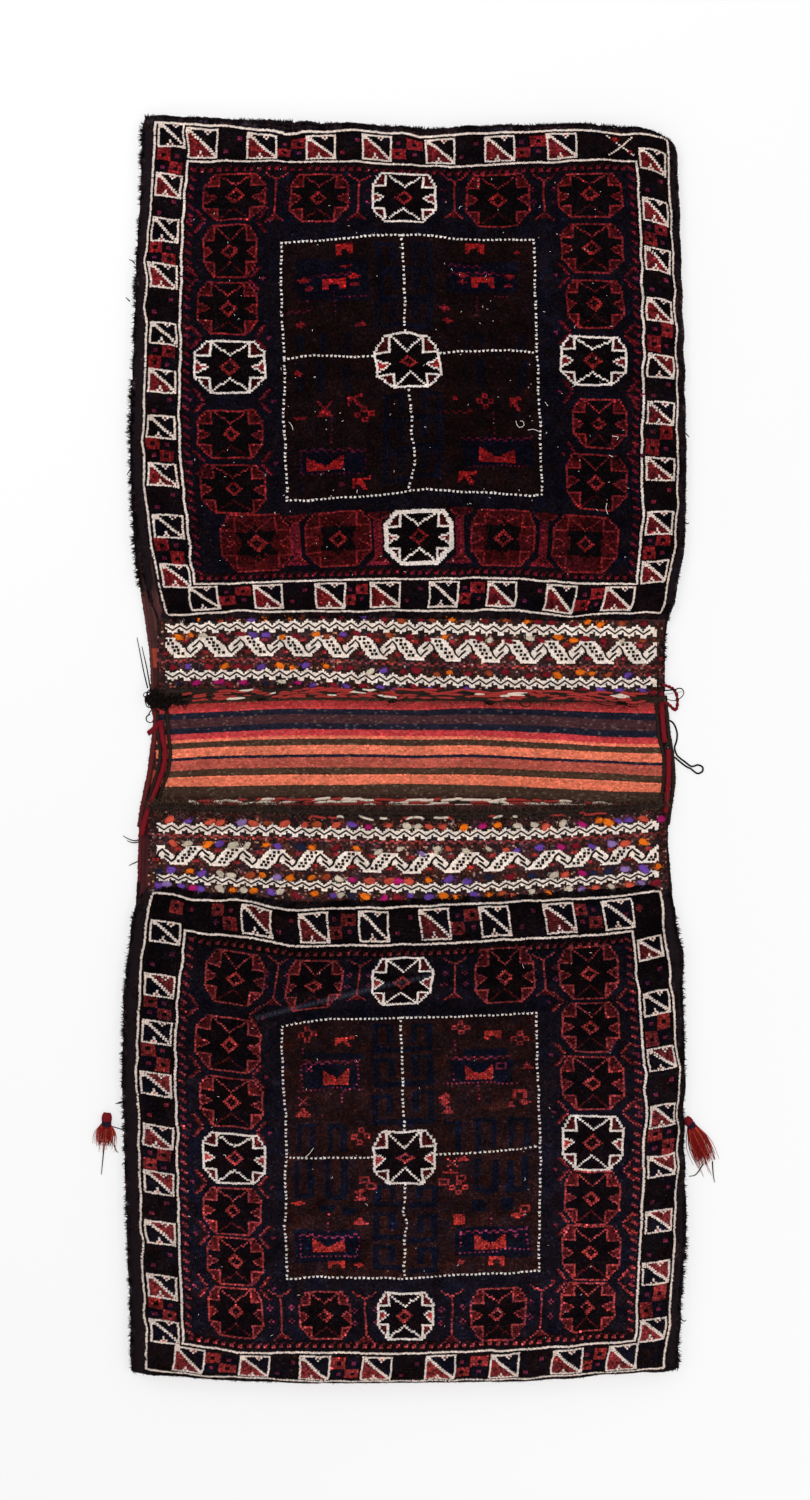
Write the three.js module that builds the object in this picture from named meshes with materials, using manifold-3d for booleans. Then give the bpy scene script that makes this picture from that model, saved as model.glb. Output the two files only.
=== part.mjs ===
// A pile saddle bag: one long woven cloth, folded up at both ends into two pouches and sewn along the sides.
// It lies flat, empty and face up, in millimetres: X across the bag, Y along it, Z up from the floor.
// The origin is under the middle of the striped bridge, which lies over the saddle in use.

import * as THREE from "three";
import { mergeVertices } from "three/addons/utils/BufferGeometryUtils.js";
import Module from "manifold-3d";

const wasm = await Module();
wasm.setup();

// Cloth and pouches
const BAG_WIDTH = 618;
const BRIDGE_LENGTH = 120;
const UPPER_DEPTH = 636;
const LOWER_DEPTH = 624;
const UPPER_BAND = 86;
const LOWER_BAND = 107;
const UPPER_SWELL = -10;
const LOWER_SWELL = 11;
const CLOTH = 3;
const POUCH_GAP = 10;
const SHOULDER = 15;
const BINDING = 6;
const SEAT = 0.3;

// Woven edges: how far each draws in from the full half width, at these shares of a pouch from mouth to fold
const EDGE_SHARES = [0, 0.14, 0.34, 0.6, 0.86, 1];
const UPPER_LEFT_DRAW = [28, 22, 8, 12, 19, 24];
const UPPER_RIGHT_DRAW = [21, 17, 0, 2, 7, 10];
const LOWER_LEFT_DRAW = [20, 14, 1, 2, 8, 11];
const LOWER_RIGHT_DRAW = [13, 14, 3, 3, 5, 8];
const WAIST_LEFT_DRAW = 31;
const WAIST_RIGHT_DRAW = 15;
const EDGE_STEPS = 6;
const FOLD_STEPS = 4;

// Weft stripes of the bridge from the upper mouth down, as shares of its length; raised ones are warm coloured
const STRIPES = [
  { share: 0.05, raised: false },
  { share: 0.08, raised: true },
  { share: 0.17, raised: false },
  { share: 0.08, raised: true },
  { share: 0.06, raised: false },
  { share: 0.19, raised: true },
  { share: 0.09, raised: false },
  { share: 0.09, raised: true },
  { share: 0.19, raised: false },
];
const STRIPE_RISE = 0.5;

// Knotted pile faces
const PILE = 7;
const PILE_AT_SEAM = 3.5;
const RAISED = 1.2;
const GUARD_INSET = 17;
const FOLD_MARGIN = 11;
const BAND_MARGIN = 7;
const GUARD_LINE = 3.2;
const STRIP = 33;
const BOX = 24;
const BOXES_ACROSS = 7;
const BOXES_DOWN = 6;
const DIAGONAL = 4.5;
const GUARD_STEPS = 4;
const PANEL_WIDTH = 285;
const PANEL_HEIGHT = 283;
const PANEL_LINE = 2.8;
const OCTAGON_WIDTH = 69;
const OCTAGON_HEIGHT = 54;
const OCTAGON_LINE = 3;
const OCTAGON_CUT = 0.28;
const OCTAGONS_A_SIDE = 5;
const STAR_POINTS = 8;
const STAR_WAIST = 0.62;
const PILE_ROOT = 3;
const PILE_TURN = Math.PI / 5;

// Ivory brocade of the closure bands: places from the mouth, heights of the stripes and their strokes
const UPPER_ZIGZAGS = [22, 74];
const LOWER_ZIGZAGS = [30, 92];
const UPPER_SCROLL = 51;
const LOWER_SCROLL = 64;
const SCROLL_HEIGHT = 24;
const SCROLL_STROKE = 12;
const SCROLL_WAVES = 13;
const ZIGZAG_HEIGHT = 11;
const ZIGZAG_STROKE = 6;
const ZIGZAG_WAVES = 14;
const BAND_END = 26;

// Edgings, cords and tassels
const BRAID_RADIUS = 4;
const CORD_RADIUS = 4;
const KNOT_RADIUS = 9;
const KNOT_INSET = 4;
const KNOT_CLEARANCE = 1.5;
const TUFT_PLACES = [-159, -14, 94, 238];
const TUFT_LENGTHS = [13, 12, 13, 22];
const TUFT_RADIUS = 3.5;
const LOOP_RADIUS = 2;
const LOOP_STEPS = 8;
const LOOP_ROUTE = [[0, 14, 5], [9, 9, 3], [12, -3, 2.3], [7, -15, 2.3]];
const THREAD_RADIUS = 0.8;
const THREAD_STEPS = 24;
const THREAD_Y = 32;
const THREAD_ROUTE = [[303, 19], [301, -3], [312, -14], [321, -25], [327, -22], [322, -16]];
const TASSEL_HEAD = 5;
const TASSEL_SKIRT = 11;
const TASSEL_FLATNESS = 0.55;
const TASSEL_Y = -409;
const LEFT_TASSEL = { reach: 16, lean: 0.1, length: 30 };
const RIGHT_TASSEL = { reach: 4, lean: 0.42, length: 44 };
const HEAD_PROFILE = [[0, 1], [0.8, 0.6], [1, 0], [0.55, -1], [0, -1]];
const SKIRT_PROFILE = [[0, 0], [0.27, 0], [0.8, 0.45], [1, 1], [0, 1]];
const TUBE_SIDES = 8;

const HALF_WIDTH = BAG_WIDTH / 2;
const MOUTH = BRIDGE_LENGTH / 2;
const CLOTH_EDGE = HALF_WIDTH - BINDING;
const PLATEAU_EDGE = HALF_WIDTH - SHOULDER;
const FRONT_TOP = 2 * CLOTH + POUCH_GAP;
const PILE_TOP = FRONT_TOP + SEAT + PILE;
const HALF_STATIONS = [PLATEAU_EDGE / 2, PLATEAU_EDGE, CLOTH_EDGE];
const SECTION_STATIONS = [...HALF_STATIONS.map((x) => -x).reverse(), 0, ...HALF_STATIONS];
const KNOT_AT = KNOT_INSET - PLATEAU_EDGE;
const BRAID_Z = FRONT_TOP - CLOTH + SEAT + BRAID_RADIUS;

const UPPER = {
  name: "upper",
  turned: false,
  depth: UPPER_DEPTH,
  band: UPPER_BAND,
  zigzags: UPPER_ZIGZAGS,
  scroll: UPPER_SCROLL,
};
const LOWER = {
  name: "lower",
  turned: true,
  depth: LOWER_DEPTH,
  band: LOWER_BAND,
  zigzags: LOWER_ZIGZAGS,
  scroll: LOWER_SCROLL,
};

const WOOL = { roughness: 0.95, metalness: 0 };
const GROUND = new THREE.MeshStandardMaterial({ color: 0x5a2a26, ...WOOL });
const DARK_PILE = new THREE.MeshStandardMaterial({ color: 0x241a20, ...WOOL });
const IVORY = new THREE.MeshStandardMaterial({ color: 0xe8dacb, ...WOOL });
const GOAT_HAIR = new THREE.MeshStandardMaterial({ color: 0x1e1917, ...WOOL });
const RED_WOOL = new THREE.MeshStandardMaterial({ color: 0xa8322c, ...WOOL });

// An edge of the bag as a smooth function of Y through the drawn-in places of both pouches.
function edgeCurve(side, waist, upperDraw, lowerDraw) {
  const rows = [[0, waist]];
  EDGE_SHARES.forEach((share, i) => {
    rows.push([MOUTH + share * UPPER_DEPTH, upperDraw[i]]);
    rows.push([-MOUTH - share * LOWER_DEPTH, lowerDraw[i]]);
  });
  rows.sort((a, b) => a[0] - b[0]);
  const places = rows.map((row) => row[0]);
  const draws = rows.map((row) => row[1]);
  const curve = new THREE.CubicInterpolant(places, draws, 1);
  return (y) => side * (HALF_WIDTH - curve.evaluate(y)[0]);
}

const leftEdge = edgeCurve(-1, WAIST_LEFT_DRAW, UPPER_LEFT_DRAW, LOWER_LEFT_DRAW);
const rightEdge = edgeCurve(1, WAIST_RIGHT_DRAW, UPPER_RIGHT_DRAW, LOWER_RIGHT_DRAW);

// Moves a point of the straight bag to where the drawn-in edges and the bowed folds take it.
function settle(point) {
  const across = point.x / HALF_WIDTH;
  const depth = point.y > 0 ? UPPER_DEPTH : LOWER_DEPTH;
  const swell = point.y > 0 ? UPPER_SWELL : -LOWER_SWELL;
  const share = THREE.MathUtils.clamp((Math.abs(point.y) - MOUTH) / depth, 0, 1);
  const middle = (rightEdge(point.y) + leftEdge(point.y)) / 2;
  const half = (rightEdge(point.y) - leftEdge(point.y)) / 2;
  point.y += swell * share * (1 - across * across);
  point.x = middle + across * half;
  return point;
}

// Settles every vertex of a piece that was drawn on the straight bag.
function settled(geometry) {
  const position = geometry.getAttribute("position");
  const point = new THREE.Vector3();
  for (let i = 0; i < position.count; i += 1) {
    settle(point.fromBufferAttribute(position, i));
    position.setXYZ(i, point.x, point.y, point.z);
  }
  geometry.computeVertexNormals();
  return geometry;
}

// Puts a piece drawn for a pouch above the bridge where it belongs: the lower pouch is turned end for end.
function onPouch(pouch, geometry) {
  if (pouch.turned) {
    geometry.rotateZ(Math.PI);
  }
  return settled(geometry);
}

// A closed body through rings of equally many points, capped flat at both ends.
function loft(rings, capTriangles) {
  const count = rings[0].length;
  const position = rings.flat().flatMap((point) => [point.x, point.y, point.z]);
  const index = [];
  for (let i = 0; i + 1 < rings.length; i += 1) {
    for (let j = 0; j < count; j += 1) {
      const a = i * count + j;
      const b = i * count + ((j + 1) % count);
      index.push(a, b, b + count, a, b + count, a + count);
    }
  }
  const last = (rings.length - 1) * count;
  for (const [a, b, c] of capTriangles) {
    index.push(c, b, a, last + a, last + b, last + c);
  }
  const geometry = new THREE.BufferGeometry();
  geometry.setAttribute("position", new THREE.Float32BufferAttribute(position, 3));
  geometry.setIndex(index);
  geometry.computeVertexNormals();
  return geometry;
}

// A layer of cloth or pile cut along the bag at stations across it. Each cut gives the layer's two sides
// as rows of equally many (y, z) points, the right-hand side first.
function layer(stations, cutAt) {
  const cuts = stations.map(cutAt);
  const count = cuts[0].right.length;
  const rings = cuts.map((cut, i) => {
    const ring = [...cut.right, ...[...cut.left].reverse()];
    return ring.map((point) => new THREE.Vector3(stations[i], point.x, point.y));
  });
  const caps = [];
  for (let k = 0; k + 1 < count; k += 1) {
    const far = 2 * count - 1 - k;
    caps.push([k, k + 1, far - 1], [k, far - 1, far]);
  }
  return loft(rings, caps);
}

// A round or oval roll along rows of { x, y, z } centres, with its sections square to X or to Y.
function roll(centres, width, height, alongX) {
  const rings = centres.map((centre) => {
    const ring = [];
    for (let k = 0; k < TUBE_SIDES; k += 1) {
      const angle = ((alongX ? 1 : -1) * 2 * Math.PI * k) / TUBE_SIDES;
      const out = width * Math.cos(angle);
      const place = new THREE.Vector3(centre.x, centre.y, centre.z + height * Math.sin(angle));
      place[alongX ? "y" : "x"] += out;
      ring.push(place);
    }
    return ring;
  });
  const caps = [];
  for (let k = 1; k + 1 < TUBE_SIDES; k += 1) {
    caps.push([0, k, k + 1]);
  }
  return loft(rings, caps);
}

// A tube along a smooth curve through points.
function tube(points, radius, steps) {
  const section = new THREE.Shape();
  section.absarc(0, 0, radius, 0, 2 * Math.PI);
  const extrudePath = new THREE.CatmullRomCurve3(points.map((p) => new THREE.Vector3(...p)));
  return new THREE.ExtrudeGeometry(section, { steps, extrudePath, curveSegments: TUBE_SIDES / 2 });
}

// Outline points drawn for a pouch above the bridge, settled with the cloth.
function settledOutline(pouch, points) {
  const turn = pouch.turned ? -1 : 1;
  return points.map((point) => {
    const place = settle(new THREE.Vector3(turn * point.x, turn * point.y, 0));
    return new THREE.Vector2(place.x, place.y);
  });
}

// A flat figure of raised wool on a pouch, from a height up.
function plate(pouch, outline, holes, bottom, thickness) {
  const shape = new THREE.Shape(settledOutline(pouch, outline));
  shape.holes = holes.map((hole) => new THREE.Path(settledOutline(pouch, hole)));
  const geometry = new THREE.ExtrudeGeometry(shape, { depth: thickness, bevelEnabled: false });
  return geometry.translate(0, 0, bottom);
}

function asManifold(geometry) {
  const bare = new THREE.BufferGeometry();
  bare.setAttribute("position", geometry.getAttribute("position"));
  bare.setIndex(geometry.getIndex());
  const merged = mergeVertices(bare, 1e-3);
  const triVerts = new Uint32Array(merged.getIndex().array);
  const vertProperties = new Float32Array(merged.getAttribute("position").array);
  return new wasm.Manifold(new wasm.Mesh({ numProp: 3, vertProperties, triVerts }));
}

// One body made of a piece and what stands up out of it.
function joined(base, additions) {
  const solid = additions.reduce((sum, part) => sum.add(asManifold(part)), asManifold(base));
  const mesh = solid.getMesh();
  const geometry = new THREE.BufferGeometry();
  geometry.setAttribute("position", new THREE.BufferAttribute(mesh.vertProperties, 3));
  geometry.setIndex(new THREE.BufferAttribute(mesh.triVerts, 1));
  geometry.computeVertexNormals();
  return geometry;
}

// Slack between front and back: open across the pouch, closed where the sides are sewn.
function gapAt(x) {
  const share = THREE.MathUtils.clamp((CLOTH_EDGE - Math.abs(x)) / (CLOTH_EDGE - PLATEAU_EDGE), 0, 1);
  return THREE.MathUtils.lerp(SEAT, POUCH_GAP, share);
}

// Height of the front cloth's outer side.
function frontTop(x) {
  return 2 * CLOTH + gapAt(x);
}

function arc(centreY, centreZ, radius, from, to, steps) {
  const points = [];
  for (let k = 0; k <= steps; k += 1) {
    const angle = THREE.MathUtils.lerp(from, to, k / steps);
    points.push(new THREE.Vector2(centreY + radius * Math.cos(angle), centreZ + radius * Math.sin(angle)));
  }
  return points;
}

// Places between the mouth and the fold of a pouch where its edges bend, and where its pile starts.
function bends(pouch) {
  const places = [MOUTH + pouch.band];
  for (let k = 1; k < EDGE_STEPS; k += 1) {
    places.push(MOUTH + (pouch.depth * k) / EDGE_STEPS);
  }
  return places.sort((a, b) => a - b);
}

// The bridge from the lower mouth to the upper, cut along the bag: low and raised weft stripes.
function stripedTop() {
  const points = [];
  const total = STRIPES.reduce((sum, stripe) => sum + stripe.share, 0);
  let y = -MOUTH;
  for (const stripe of [...STRIPES].reverse()) {
    const z = CLOTH + (stripe.raised ? STRIPE_RISE : 0);
    const end = y + (stripe.share / total) * BRIDGE_LENGTH;
    points.push(new THREE.Vector2(y + SEAT, z), new THREE.Vector2(end - SEAT, z));
    y = end;
  }
  return points;
}

// The folded strip of ground cloth, from the lower mouth lip round both folds to the upper mouth lip.
function clothCut(x) {
  const gap = gapAt(x);
  const outer = gap / 2 + CLOTH;
  const inner = gap / 2;
  const top = Math.PI / 2;
  const upperFold = MOUTH + UPPER_DEPTH - outer;
  const lowerFold = -MOUTH - LOWER_DEPTH + outer;
  const upperBends = bends(UPPER);
  const lowerBends = bends(LOWER).map((y) => -y);
  const level = (places, z) => places.map((y) => new THREE.Vector2(y, z));
  const side = (radius, front, back, bridge) => [
    ...level([-MOUTH, ...lowerBends], front),
    ...arc(lowerFold, outer, radius, top, 3 * top, FOLD_STEPS),
    ...level([...lowerBends].reverse(), back),
    ...bridge,
    ...level(upperBends, back),
    ...arc(upperFold, outer, radius, -top, top, FOLD_STEPS),
    ...level([...upperBends].reverse(), front),
    new THREE.Vector2(MOUTH, front),
  ];
  const bridge = stripedTop();
  const floor = bridge.map((point) => new THREE.Vector2(point.x, 0));
  return { right: side(outer, 2 * outer, 0, floor), left: side(inner, CLOTH + gap, CLOTH, bridge) };
}

function wovenCloth() {
  return settled(layer(SECTION_STATIONS, clothCut));
}

// The pile of one face, cut along the bag: it ends at the closure band and turns over the bottom fold.
function pileCut(pouch, x) {
  const pile = Math.abs(x) < CLOTH_EDGE ? PILE : PILE_AT_SEAM;
  const seat = frontTop(x) + SEAT;
  const radius = frontTop(x) / 2;
  const fold = MOUTH + pouch.depth - radius;
  const places = bends(pouch).filter((y) => y >= MOUTH + pouch.band);
  const top = Math.PI / 2;
  const side = (height) => [
    ...places.map((y) => new THREE.Vector2(y, seat + height)),
    ...arc(fold, radius, radius + SEAT + height, top, top - PILE_TURN, FOLD_STEPS / 2),
  ];
  return { right: side(0), left: side(pile) };
}

function pileGround(pouch) {
  return onPouch(pouch, layer(SECTION_STATIONS, (x) => pileCut(pouch, x)));
}

// The face between the guard lines' outer edges, on the straight bag.
function guardFrame(pouch) {
  return {
    left: -HALF_WIDTH + GUARD_INSET,
    right: HALF_WIDTH - GUARD_INSET,
    low: MOUTH + pouch.band + BAND_MARGIN,
    high: MOUTH + pouch.depth - FOLD_MARGIN,
  };
}

function inset(frame, margin) {
  return {
    left: frame.left + margin,
    right: frame.right - margin,
    low: frame.low + margin,
    high: frame.high - margin,
  };
}

// A frame's corners with steps between them, so that its long sides can bow with the cloth.
function frameOutline(frame, steps) {
  const corners = [
    new THREE.Vector2(frame.left, frame.low),
    new THREE.Vector2(frame.right, frame.low),
    new THREE.Vector2(frame.right, frame.high),
    new THREE.Vector2(frame.left, frame.high),
  ];
  const points = [];
  corners.forEach((corner, i) => {
    for (let k = 0; k < steps; k += 1) {
      points.push(corner.clone().lerp(corners[(i + 1) % corners.length], k / steps));
    }
  });
  return points;
}

function rectangle(left, right, low, high) {
  return frameOutline({ left, right, low, high }, 1);
}

// The two dark triangles inside a box, either side of its ivory diagonal.
function boxTriangles(left, right, low, high) {
  const below = [
    new THREE.Vector2(left, low),
    new THREE.Vector2(right - DIAGONAL, low),
    new THREE.Vector2(left, high - DIAGONAL),
  ];
  const above = [
    new THREE.Vector2(right, high),
    new THREE.Vector2(left + DIAGONAL, high),
    new THREE.Vector2(right, low + DIAGONAL),
  ];
  return [below, above];
}

// Start and end of each gap and box along a strip of the border, with ivory bars between them.
function stripCells(start, end, boxes) {
  const bars = (2 * boxes + 2) * GUARD_LINE;
  const gap = (end - start - bars - boxes * BOX) / (boxes + 1);
  const cells = [];
  let place = start + GUARD_LINE;
  for (let k = 0; k < 2 * boxes + 1; k += 1) {
    const isBox = k % 2 === 1;
    const length = isBox ? BOX : gap;
    cells.push({ from: place, to: place + length, isBox });
    place += length + GUARD_LINE;
  }
  return cells;
}

// Everything that isn't ivory between the two guard lines.
function stripHoles(frame) {
  const outer = inset(frame, GUARD_LINE);
  const inner = inset(outer, STRIP);
  const holes = [];
  const fill = (left, right, low, high, isBox) => {
    holes.push(...(isBox ? boxTriangles(left, right, low, high) : [rectangle(left, right, low, high)]));
  };
  const columns = [[outer.left, inner.left], [inner.right, outer.right]];
  const rows = [[outer.low, inner.low], [inner.high, outer.high]];
  for (const [low, high] of rows) {
    columns.forEach(([left, right]) => fill(left, right, low, high, true));
    for (const cell of stripCells(inner.left, inner.right, BOXES_ACROSS)) {
      fill(cell.from, cell.to, low, high, cell.isBox);
    }
  }
  for (const [left, right] of columns) {
    for (const cell of stripCells(inner.low, inner.high, BOXES_DOWN)) {
      fill(left, right, cell.from, cell.to, cell.isBox);
    }
  }
  return holes;
}

// Ivory wool of the border: two guard lines, and the boxes with diagonals between them.
function borderWool(pouch) {
  const frame = guardFrame(pouch);
  const field = inset(frame, 2 * GUARD_LINE + STRIP);
  const holes = [frameOutline(field, GUARD_STEPS), ...stripHoles(frame)];
  return plate(pouch, frameOutline(frame, GUARD_STEPS), holes, PILE_TOP + SEAT, RAISED);
}

function octagonOutline(x, y, margin) {
  const a = OCTAGON_WIDTH / 2 - margin;
  const b = OCTAGON_HEIGHT / 2 - margin;
  const cutA = a * (1 - 2 * OCTAGON_CUT);
  const cutB = b * (1 - 2 * OCTAGON_CUT);
  const quarter = [[a, cutB], [cutA, b]];
  const half = [...quarter, ...quarter.map(([p, q]) => [-p, q]).reverse()];
  const whole = [...half, ...half.map(([p, q]) => [-p, -q])];
  return whole.map(([p, q]) => new THREE.Vector2(x + p, y + q));
}

// The eight-pointed star inside an octagon.
function starOutline(x, y) {
  const a = OCTAGON_WIDTH / 2 - 2 * OCTAGON_LINE;
  const b = OCTAGON_HEIGHT / 2 - 2 * OCTAGON_LINE;
  const points = [];
  for (let k = 0; k < 2 * STAR_POINTS; k += 1) {
    const angle = (k * Math.PI) / STAR_POINTS;
    const reach = k % 2 ? STAR_WAIST : 1;
    points.push(new THREE.Vector2(x + a * reach * Math.cos(angle), y + b * reach * Math.sin(angle)));
  }
  return points;
}

// Ivory octagons are filled round their star, red ones are an outline.
function octagonWool(pouch, place, bottom, thickness) {
  const outline = octagonOutline(place.x, place.y, 0);
  const inside = octagonOutline(place.x, place.y, OCTAGON_LINE);
  const opening = place.ivory ? starOutline(place.x, place.y) : inside;
  return plate(pouch, outline, [opening], bottom, thickness);
}

function faceCentre(pouch) {
  const frame = guardFrame(pouch);
  return (frame.low + frame.high) / 2;
}

// The ring of octagons between the border and the middle panel; the middle one of each side is ivory.
function octagonRing(pouch) {
  const field = inset(guardFrame(pouch), 2 * GUARD_LINE + STRIP);
  const centre = faceCentre(pouch);
  const column = (field.right + PANEL_WIDTH / 2) / 2;
  const row = (field.high - centre + PANEL_HEIGHT / 2) / 2;
  const reach = (OCTAGONS_A_SIDE - 1) / 2;
  const ring = [];
  for (const side of [-1, 1]) {
    for (let k = -reach; k <= reach; k += 1) {
      ring.push({ x: (k * column) / reach, y: centre + side * row, ivory: k === 0 });
      ring.push({ x: side * column, y: centre + (k * row) / (reach + 1), ivory: k === 0 });
    }
  }
  return ring;
}

// The dark pile of one face, with the red octagons standing up out of it.
function facePile(pouch) {
  const red = octagonRing(pouch).filter((place) => !place.ivory);
  const stand = (place) => octagonWool(pouch, place, PILE_TOP - PILE_ROOT, PILE_ROOT + RAISED);
  return joined(pileGround(pouch), red.map(stand));
}

// Ivory wool of the middle panel: its outline, its cross and the octagon at the crossing.
function panelWool(pouch) {
  const centre = faceCentre(pouch);
  const right = PANEL_WIDTH / 2;
  const high = PANEL_HEIGHT / 2;
  const line = PANEL_LINE / 2;
  const frame = { left: -right, right, low: centre - high, high: centre + high };
  const a = OCTAGON_WIDTH / 2;
  const b = OCTAGON_HEIGHT / 2;
  const cut = 1 - 2 * OCTAGON_CUT;
  const quadrant = [
    [a, line],
    [right - PANEL_LINE, line],
    [right - PANEL_LINE, high - PANEL_LINE],
    [line, high - PANEL_LINE],
    [line, b],
    [a * cut, b],
    [a, b * cut],
  ];
  const holes = [starOutline(0, centre)];
  for (const [sideX, sideY] of [[1, 1], [-1, 1], [1, -1], [-1, -1]]) {
    holes.push(quadrant.map(([x, y]) => new THREE.Vector2(sideX * x, centre + sideY * y)));
  }
  return plate(pouch, frameOutline(frame, 1), holes, PILE_TOP + SEAT, RAISED);
}

// A zigzag stripe of ivory brocade across a closure band.
function zigzag(pouch, fromMouth, height, stroke, waves) {
  const reach = HALF_WIDTH - BAND_END;
  const swing = (height - stroke) / 2;
  const count = 2 * waves;
  const over = [];
  const under = [];
  for (let k = 0; k <= count; k += 1) {
    const x = THREE.MathUtils.lerp(-reach, reach, k / count);
    const y = MOUTH + fromMouth + (k % 2 ? swing : -swing);
    over.push(new THREE.Vector2(x, y + stroke / 2));
    under.push(new THREE.Vector2(x, y - stroke / 2));
  }
  return plate(pouch, [...under, ...over.reverse()], [], FRONT_TOP + SEAT, RAISED);
}

// Overcast goat hair that closes a side of a pouch.
function sideBinding(pouch, side) {
  const height = (2 * CLOTH + SEAT + PILE_AT_SEAM) / 2;
  const width = (BINDING - SEAT) / 2;
  const places = [MOUTH + SEAT, ...bends(pouch), MOUTH + pouch.depth - CLOTH];
  const centres = places.map((y) => new THREE.Vector3(side * (HALF_WIDTH - width), y, height));
  return onPouch(pouch, roll(centres, width, height, false));
}

// Red wrapped cord that edges the bridge on one side.
function bridgeCord(side) {
  const x = side * (CLOTH_EDGE + SEAT + CORD_RADIUS);
  const stripeStarts = stripedTop().filter((point, i) => i % 2 === 0);
  const places = [...stripeStarts.map((point) => point.x), MOUTH - SEAT];
  const centres = places.map((y) => new THREE.Vector3(x, y, CORD_RADIUS));
  return settled(roll(centres, CORD_RADIUS, CORD_RADIUS, false));
}

// Dark braid along the lip of a pouch mouth, no lower than the front cloth, so that the mouth stays clear.
function mouthBraid(pouch, from, to) {
  const y = MOUTH - SEAT - BRAID_RADIUS;
  const centres = [from, (from + to) / 2, to].map((x) => new THREE.Vector3(x, y, BRAID_Z));
  return onPouch(pouch, roll(centres, BRAID_RADIUS, BRAID_RADIUS, true));
}

// Goat-hair knot that ends the upper braid on the left.
function cornerKnot() {
  const knot = new THREE.SphereGeometry(KNOT_RADIUS, TUBE_SIDES, TUBE_SIDES);
  const place = settle(new THREE.Vector3(KNOT_AT, MOUTH - SEAT - KNOT_RADIUS, 0));
  return knot.translate(place.x, place.y, CLOTH + STRIPE_RISE + SEAT + KNOT_RADIUS);
}

// A tuft of dark hair that hangs from the upper braid over the first stripe of the bridge.
function mouthTuft(x, length) {
  const tuft = new THREE.ConeGeometry(TUFT_RADIUS, length, TUBE_SIDES);
  const y = MOUTH - 2 * SEAT - 2 * BRAID_RADIUS - length / 2;
  tuft.rotateX(Math.PI);
  return tuft.translate(x, y, BRAID_Z);
}

// Short end of red cord beside the right end of the upper mouth.
function redLoop() {
  const start = rightEdge(MOUTH) + SEAT + LOOP_RADIUS;
  const points = LOOP_ROUTE.map(([x, y, z]) => [start + x, MOUTH + y, z]);
  return tube(points, LOOP_RADIUS, LOOP_STEPS);
}

// Thin dark thread that trails from the right edge of the bridge over the floor.
function looseThread() {
  const z = THREAD_RADIUS + SEAT;
  const cordSide = settle(new THREE.Vector3(CLOTH_EDGE + SEAT + 2 * CORD_RADIUS, THREAD_Y, 0)).x;
  const start = [cordSide + SEAT + THREAD_RADIUS, THREAD_Y, CORD_RADIUS];
  return tube([start, ...THREAD_ROUTE.map(([x, y]) => [x, y, z])], THREAD_RADIUS, THREAD_STEPS);
}

// A tassel lying on the floor beside the lower pouch: thread, wrapped head and skirt.
function tassel(side, size) {
  const edge = side < 0 ? leftEdge(TASSEL_Y) : rightEdge(TASSEL_Y);
  const z = TASSEL_SKIRT * TASSEL_FLATNESS;
  const head = new THREE.Vector3(edge + side * (SEAT + size.reach + TASSEL_HEAD), TASSEL_Y, z);
  const rod = new THREE.CylinderGeometry(THREAD_RADIUS, THREAD_RADIUS, size.reach, TUBE_SIDES);
  rod.rotateZ(Math.PI / 2);
  rod.translate(edge + side * (SEAT / 2 + size.reach / 2), TASSEL_Y, z);
  const neck = TASSEL_HEAD + SEAT;
  const ball = HEAD_PROFILE.map(([r, y]) => new THREE.Vector2(r * TASSEL_HEAD, y * TASSEL_HEAD));
  const skirt = SKIRT_PROFILE.map(([r, y]) => new THREE.Vector2(r * TASSEL_SKIRT, -neck - y * size.length));
  const turned = (profile) => {
    const body = new THREE.LatheGeometry([...profile].reverse(), TUBE_SIDES);
    body.scale(1, 1, TASSEL_FLATNESS);
    body.rotateZ(size.lean * side);
    return body.translate(head.x, head.y, head.z);
  };
  return { thread: rod, head: turned(ball), skirt: turned(skirt) };
}

const group = new THREE.Group();

function add(name, geometry, material) {
  const mesh = new THREE.Mesh(geometry, material);
  mesh.name = name;
  group.add(mesh);
}

add("woven_cloth", wovenCloth(), GROUND);
for (const pouch of [UPPER, LOWER]) {
  add(`${pouch.name}_pile`, facePile(pouch), DARK_PILE);
  add(`${pouch.name}_border`, borderWool(pouch), IVORY);
  add(`${pouch.name}_panel_lines`, panelWool(pouch), IVORY);
  octagonRing(pouch).filter((place) => place.ivory).forEach((place, i) => {
    const wool = octagonWool(pouch, place, PILE_TOP + SEAT, RAISED);
    add(`${pouch.name}_ivory_octagon_${i + 1}`, wool, IVORY);
  });
  const scroll = zigzag(pouch, pouch.scroll, SCROLL_HEIGHT, SCROLL_STROKE, SCROLL_WAVES);
  add(`${pouch.name}_scroll`, scroll, IVORY);
  pouch.zigzags.forEach((fromMouth, i) => {
    const stripe = zigzag(pouch, fromMouth, ZIGZAG_HEIGHT, ZIGZAG_STROKE, ZIGZAG_WAVES);
    add(`${pouch.name}_zigzag_${i + 1}`, stripe, IVORY);
  });
  for (const [label, side] of [["left", -1], ["right", 1]]) {
    const turnedSide = pouch.turned ? -side : side;
    add(`${pouch.name}_${label}_binding`, sideBinding(pouch, turnedSide), GOAT_HAIR);
  }
}
add("bridge_left_cord", bridgeCord(-1), RED_WOOL);
add("bridge_right_cord", bridgeCord(1), RED_WOOL);
add("upper_mouth_braid", mouthBraid(UPPER, KNOT_AT + KNOT_RADIUS + KNOT_CLEARANCE, PLATEAU_EDGE), GOAT_HAIR);
add("lower_mouth_braid", mouthBraid(LOWER, -PLATEAU_EDGE, PLATEAU_EDGE), GOAT_HAIR);
add("corner_knot", cornerKnot(), GOAT_HAIR);
TUFT_PLACES.forEach((x, i) => add(`mouth_tuft_${i + 1}`, mouthTuft(x, TUFT_LENGTHS[i]), GOAT_HAIR));
add("red_loop", redLoop(), RED_WOOL);
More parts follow.
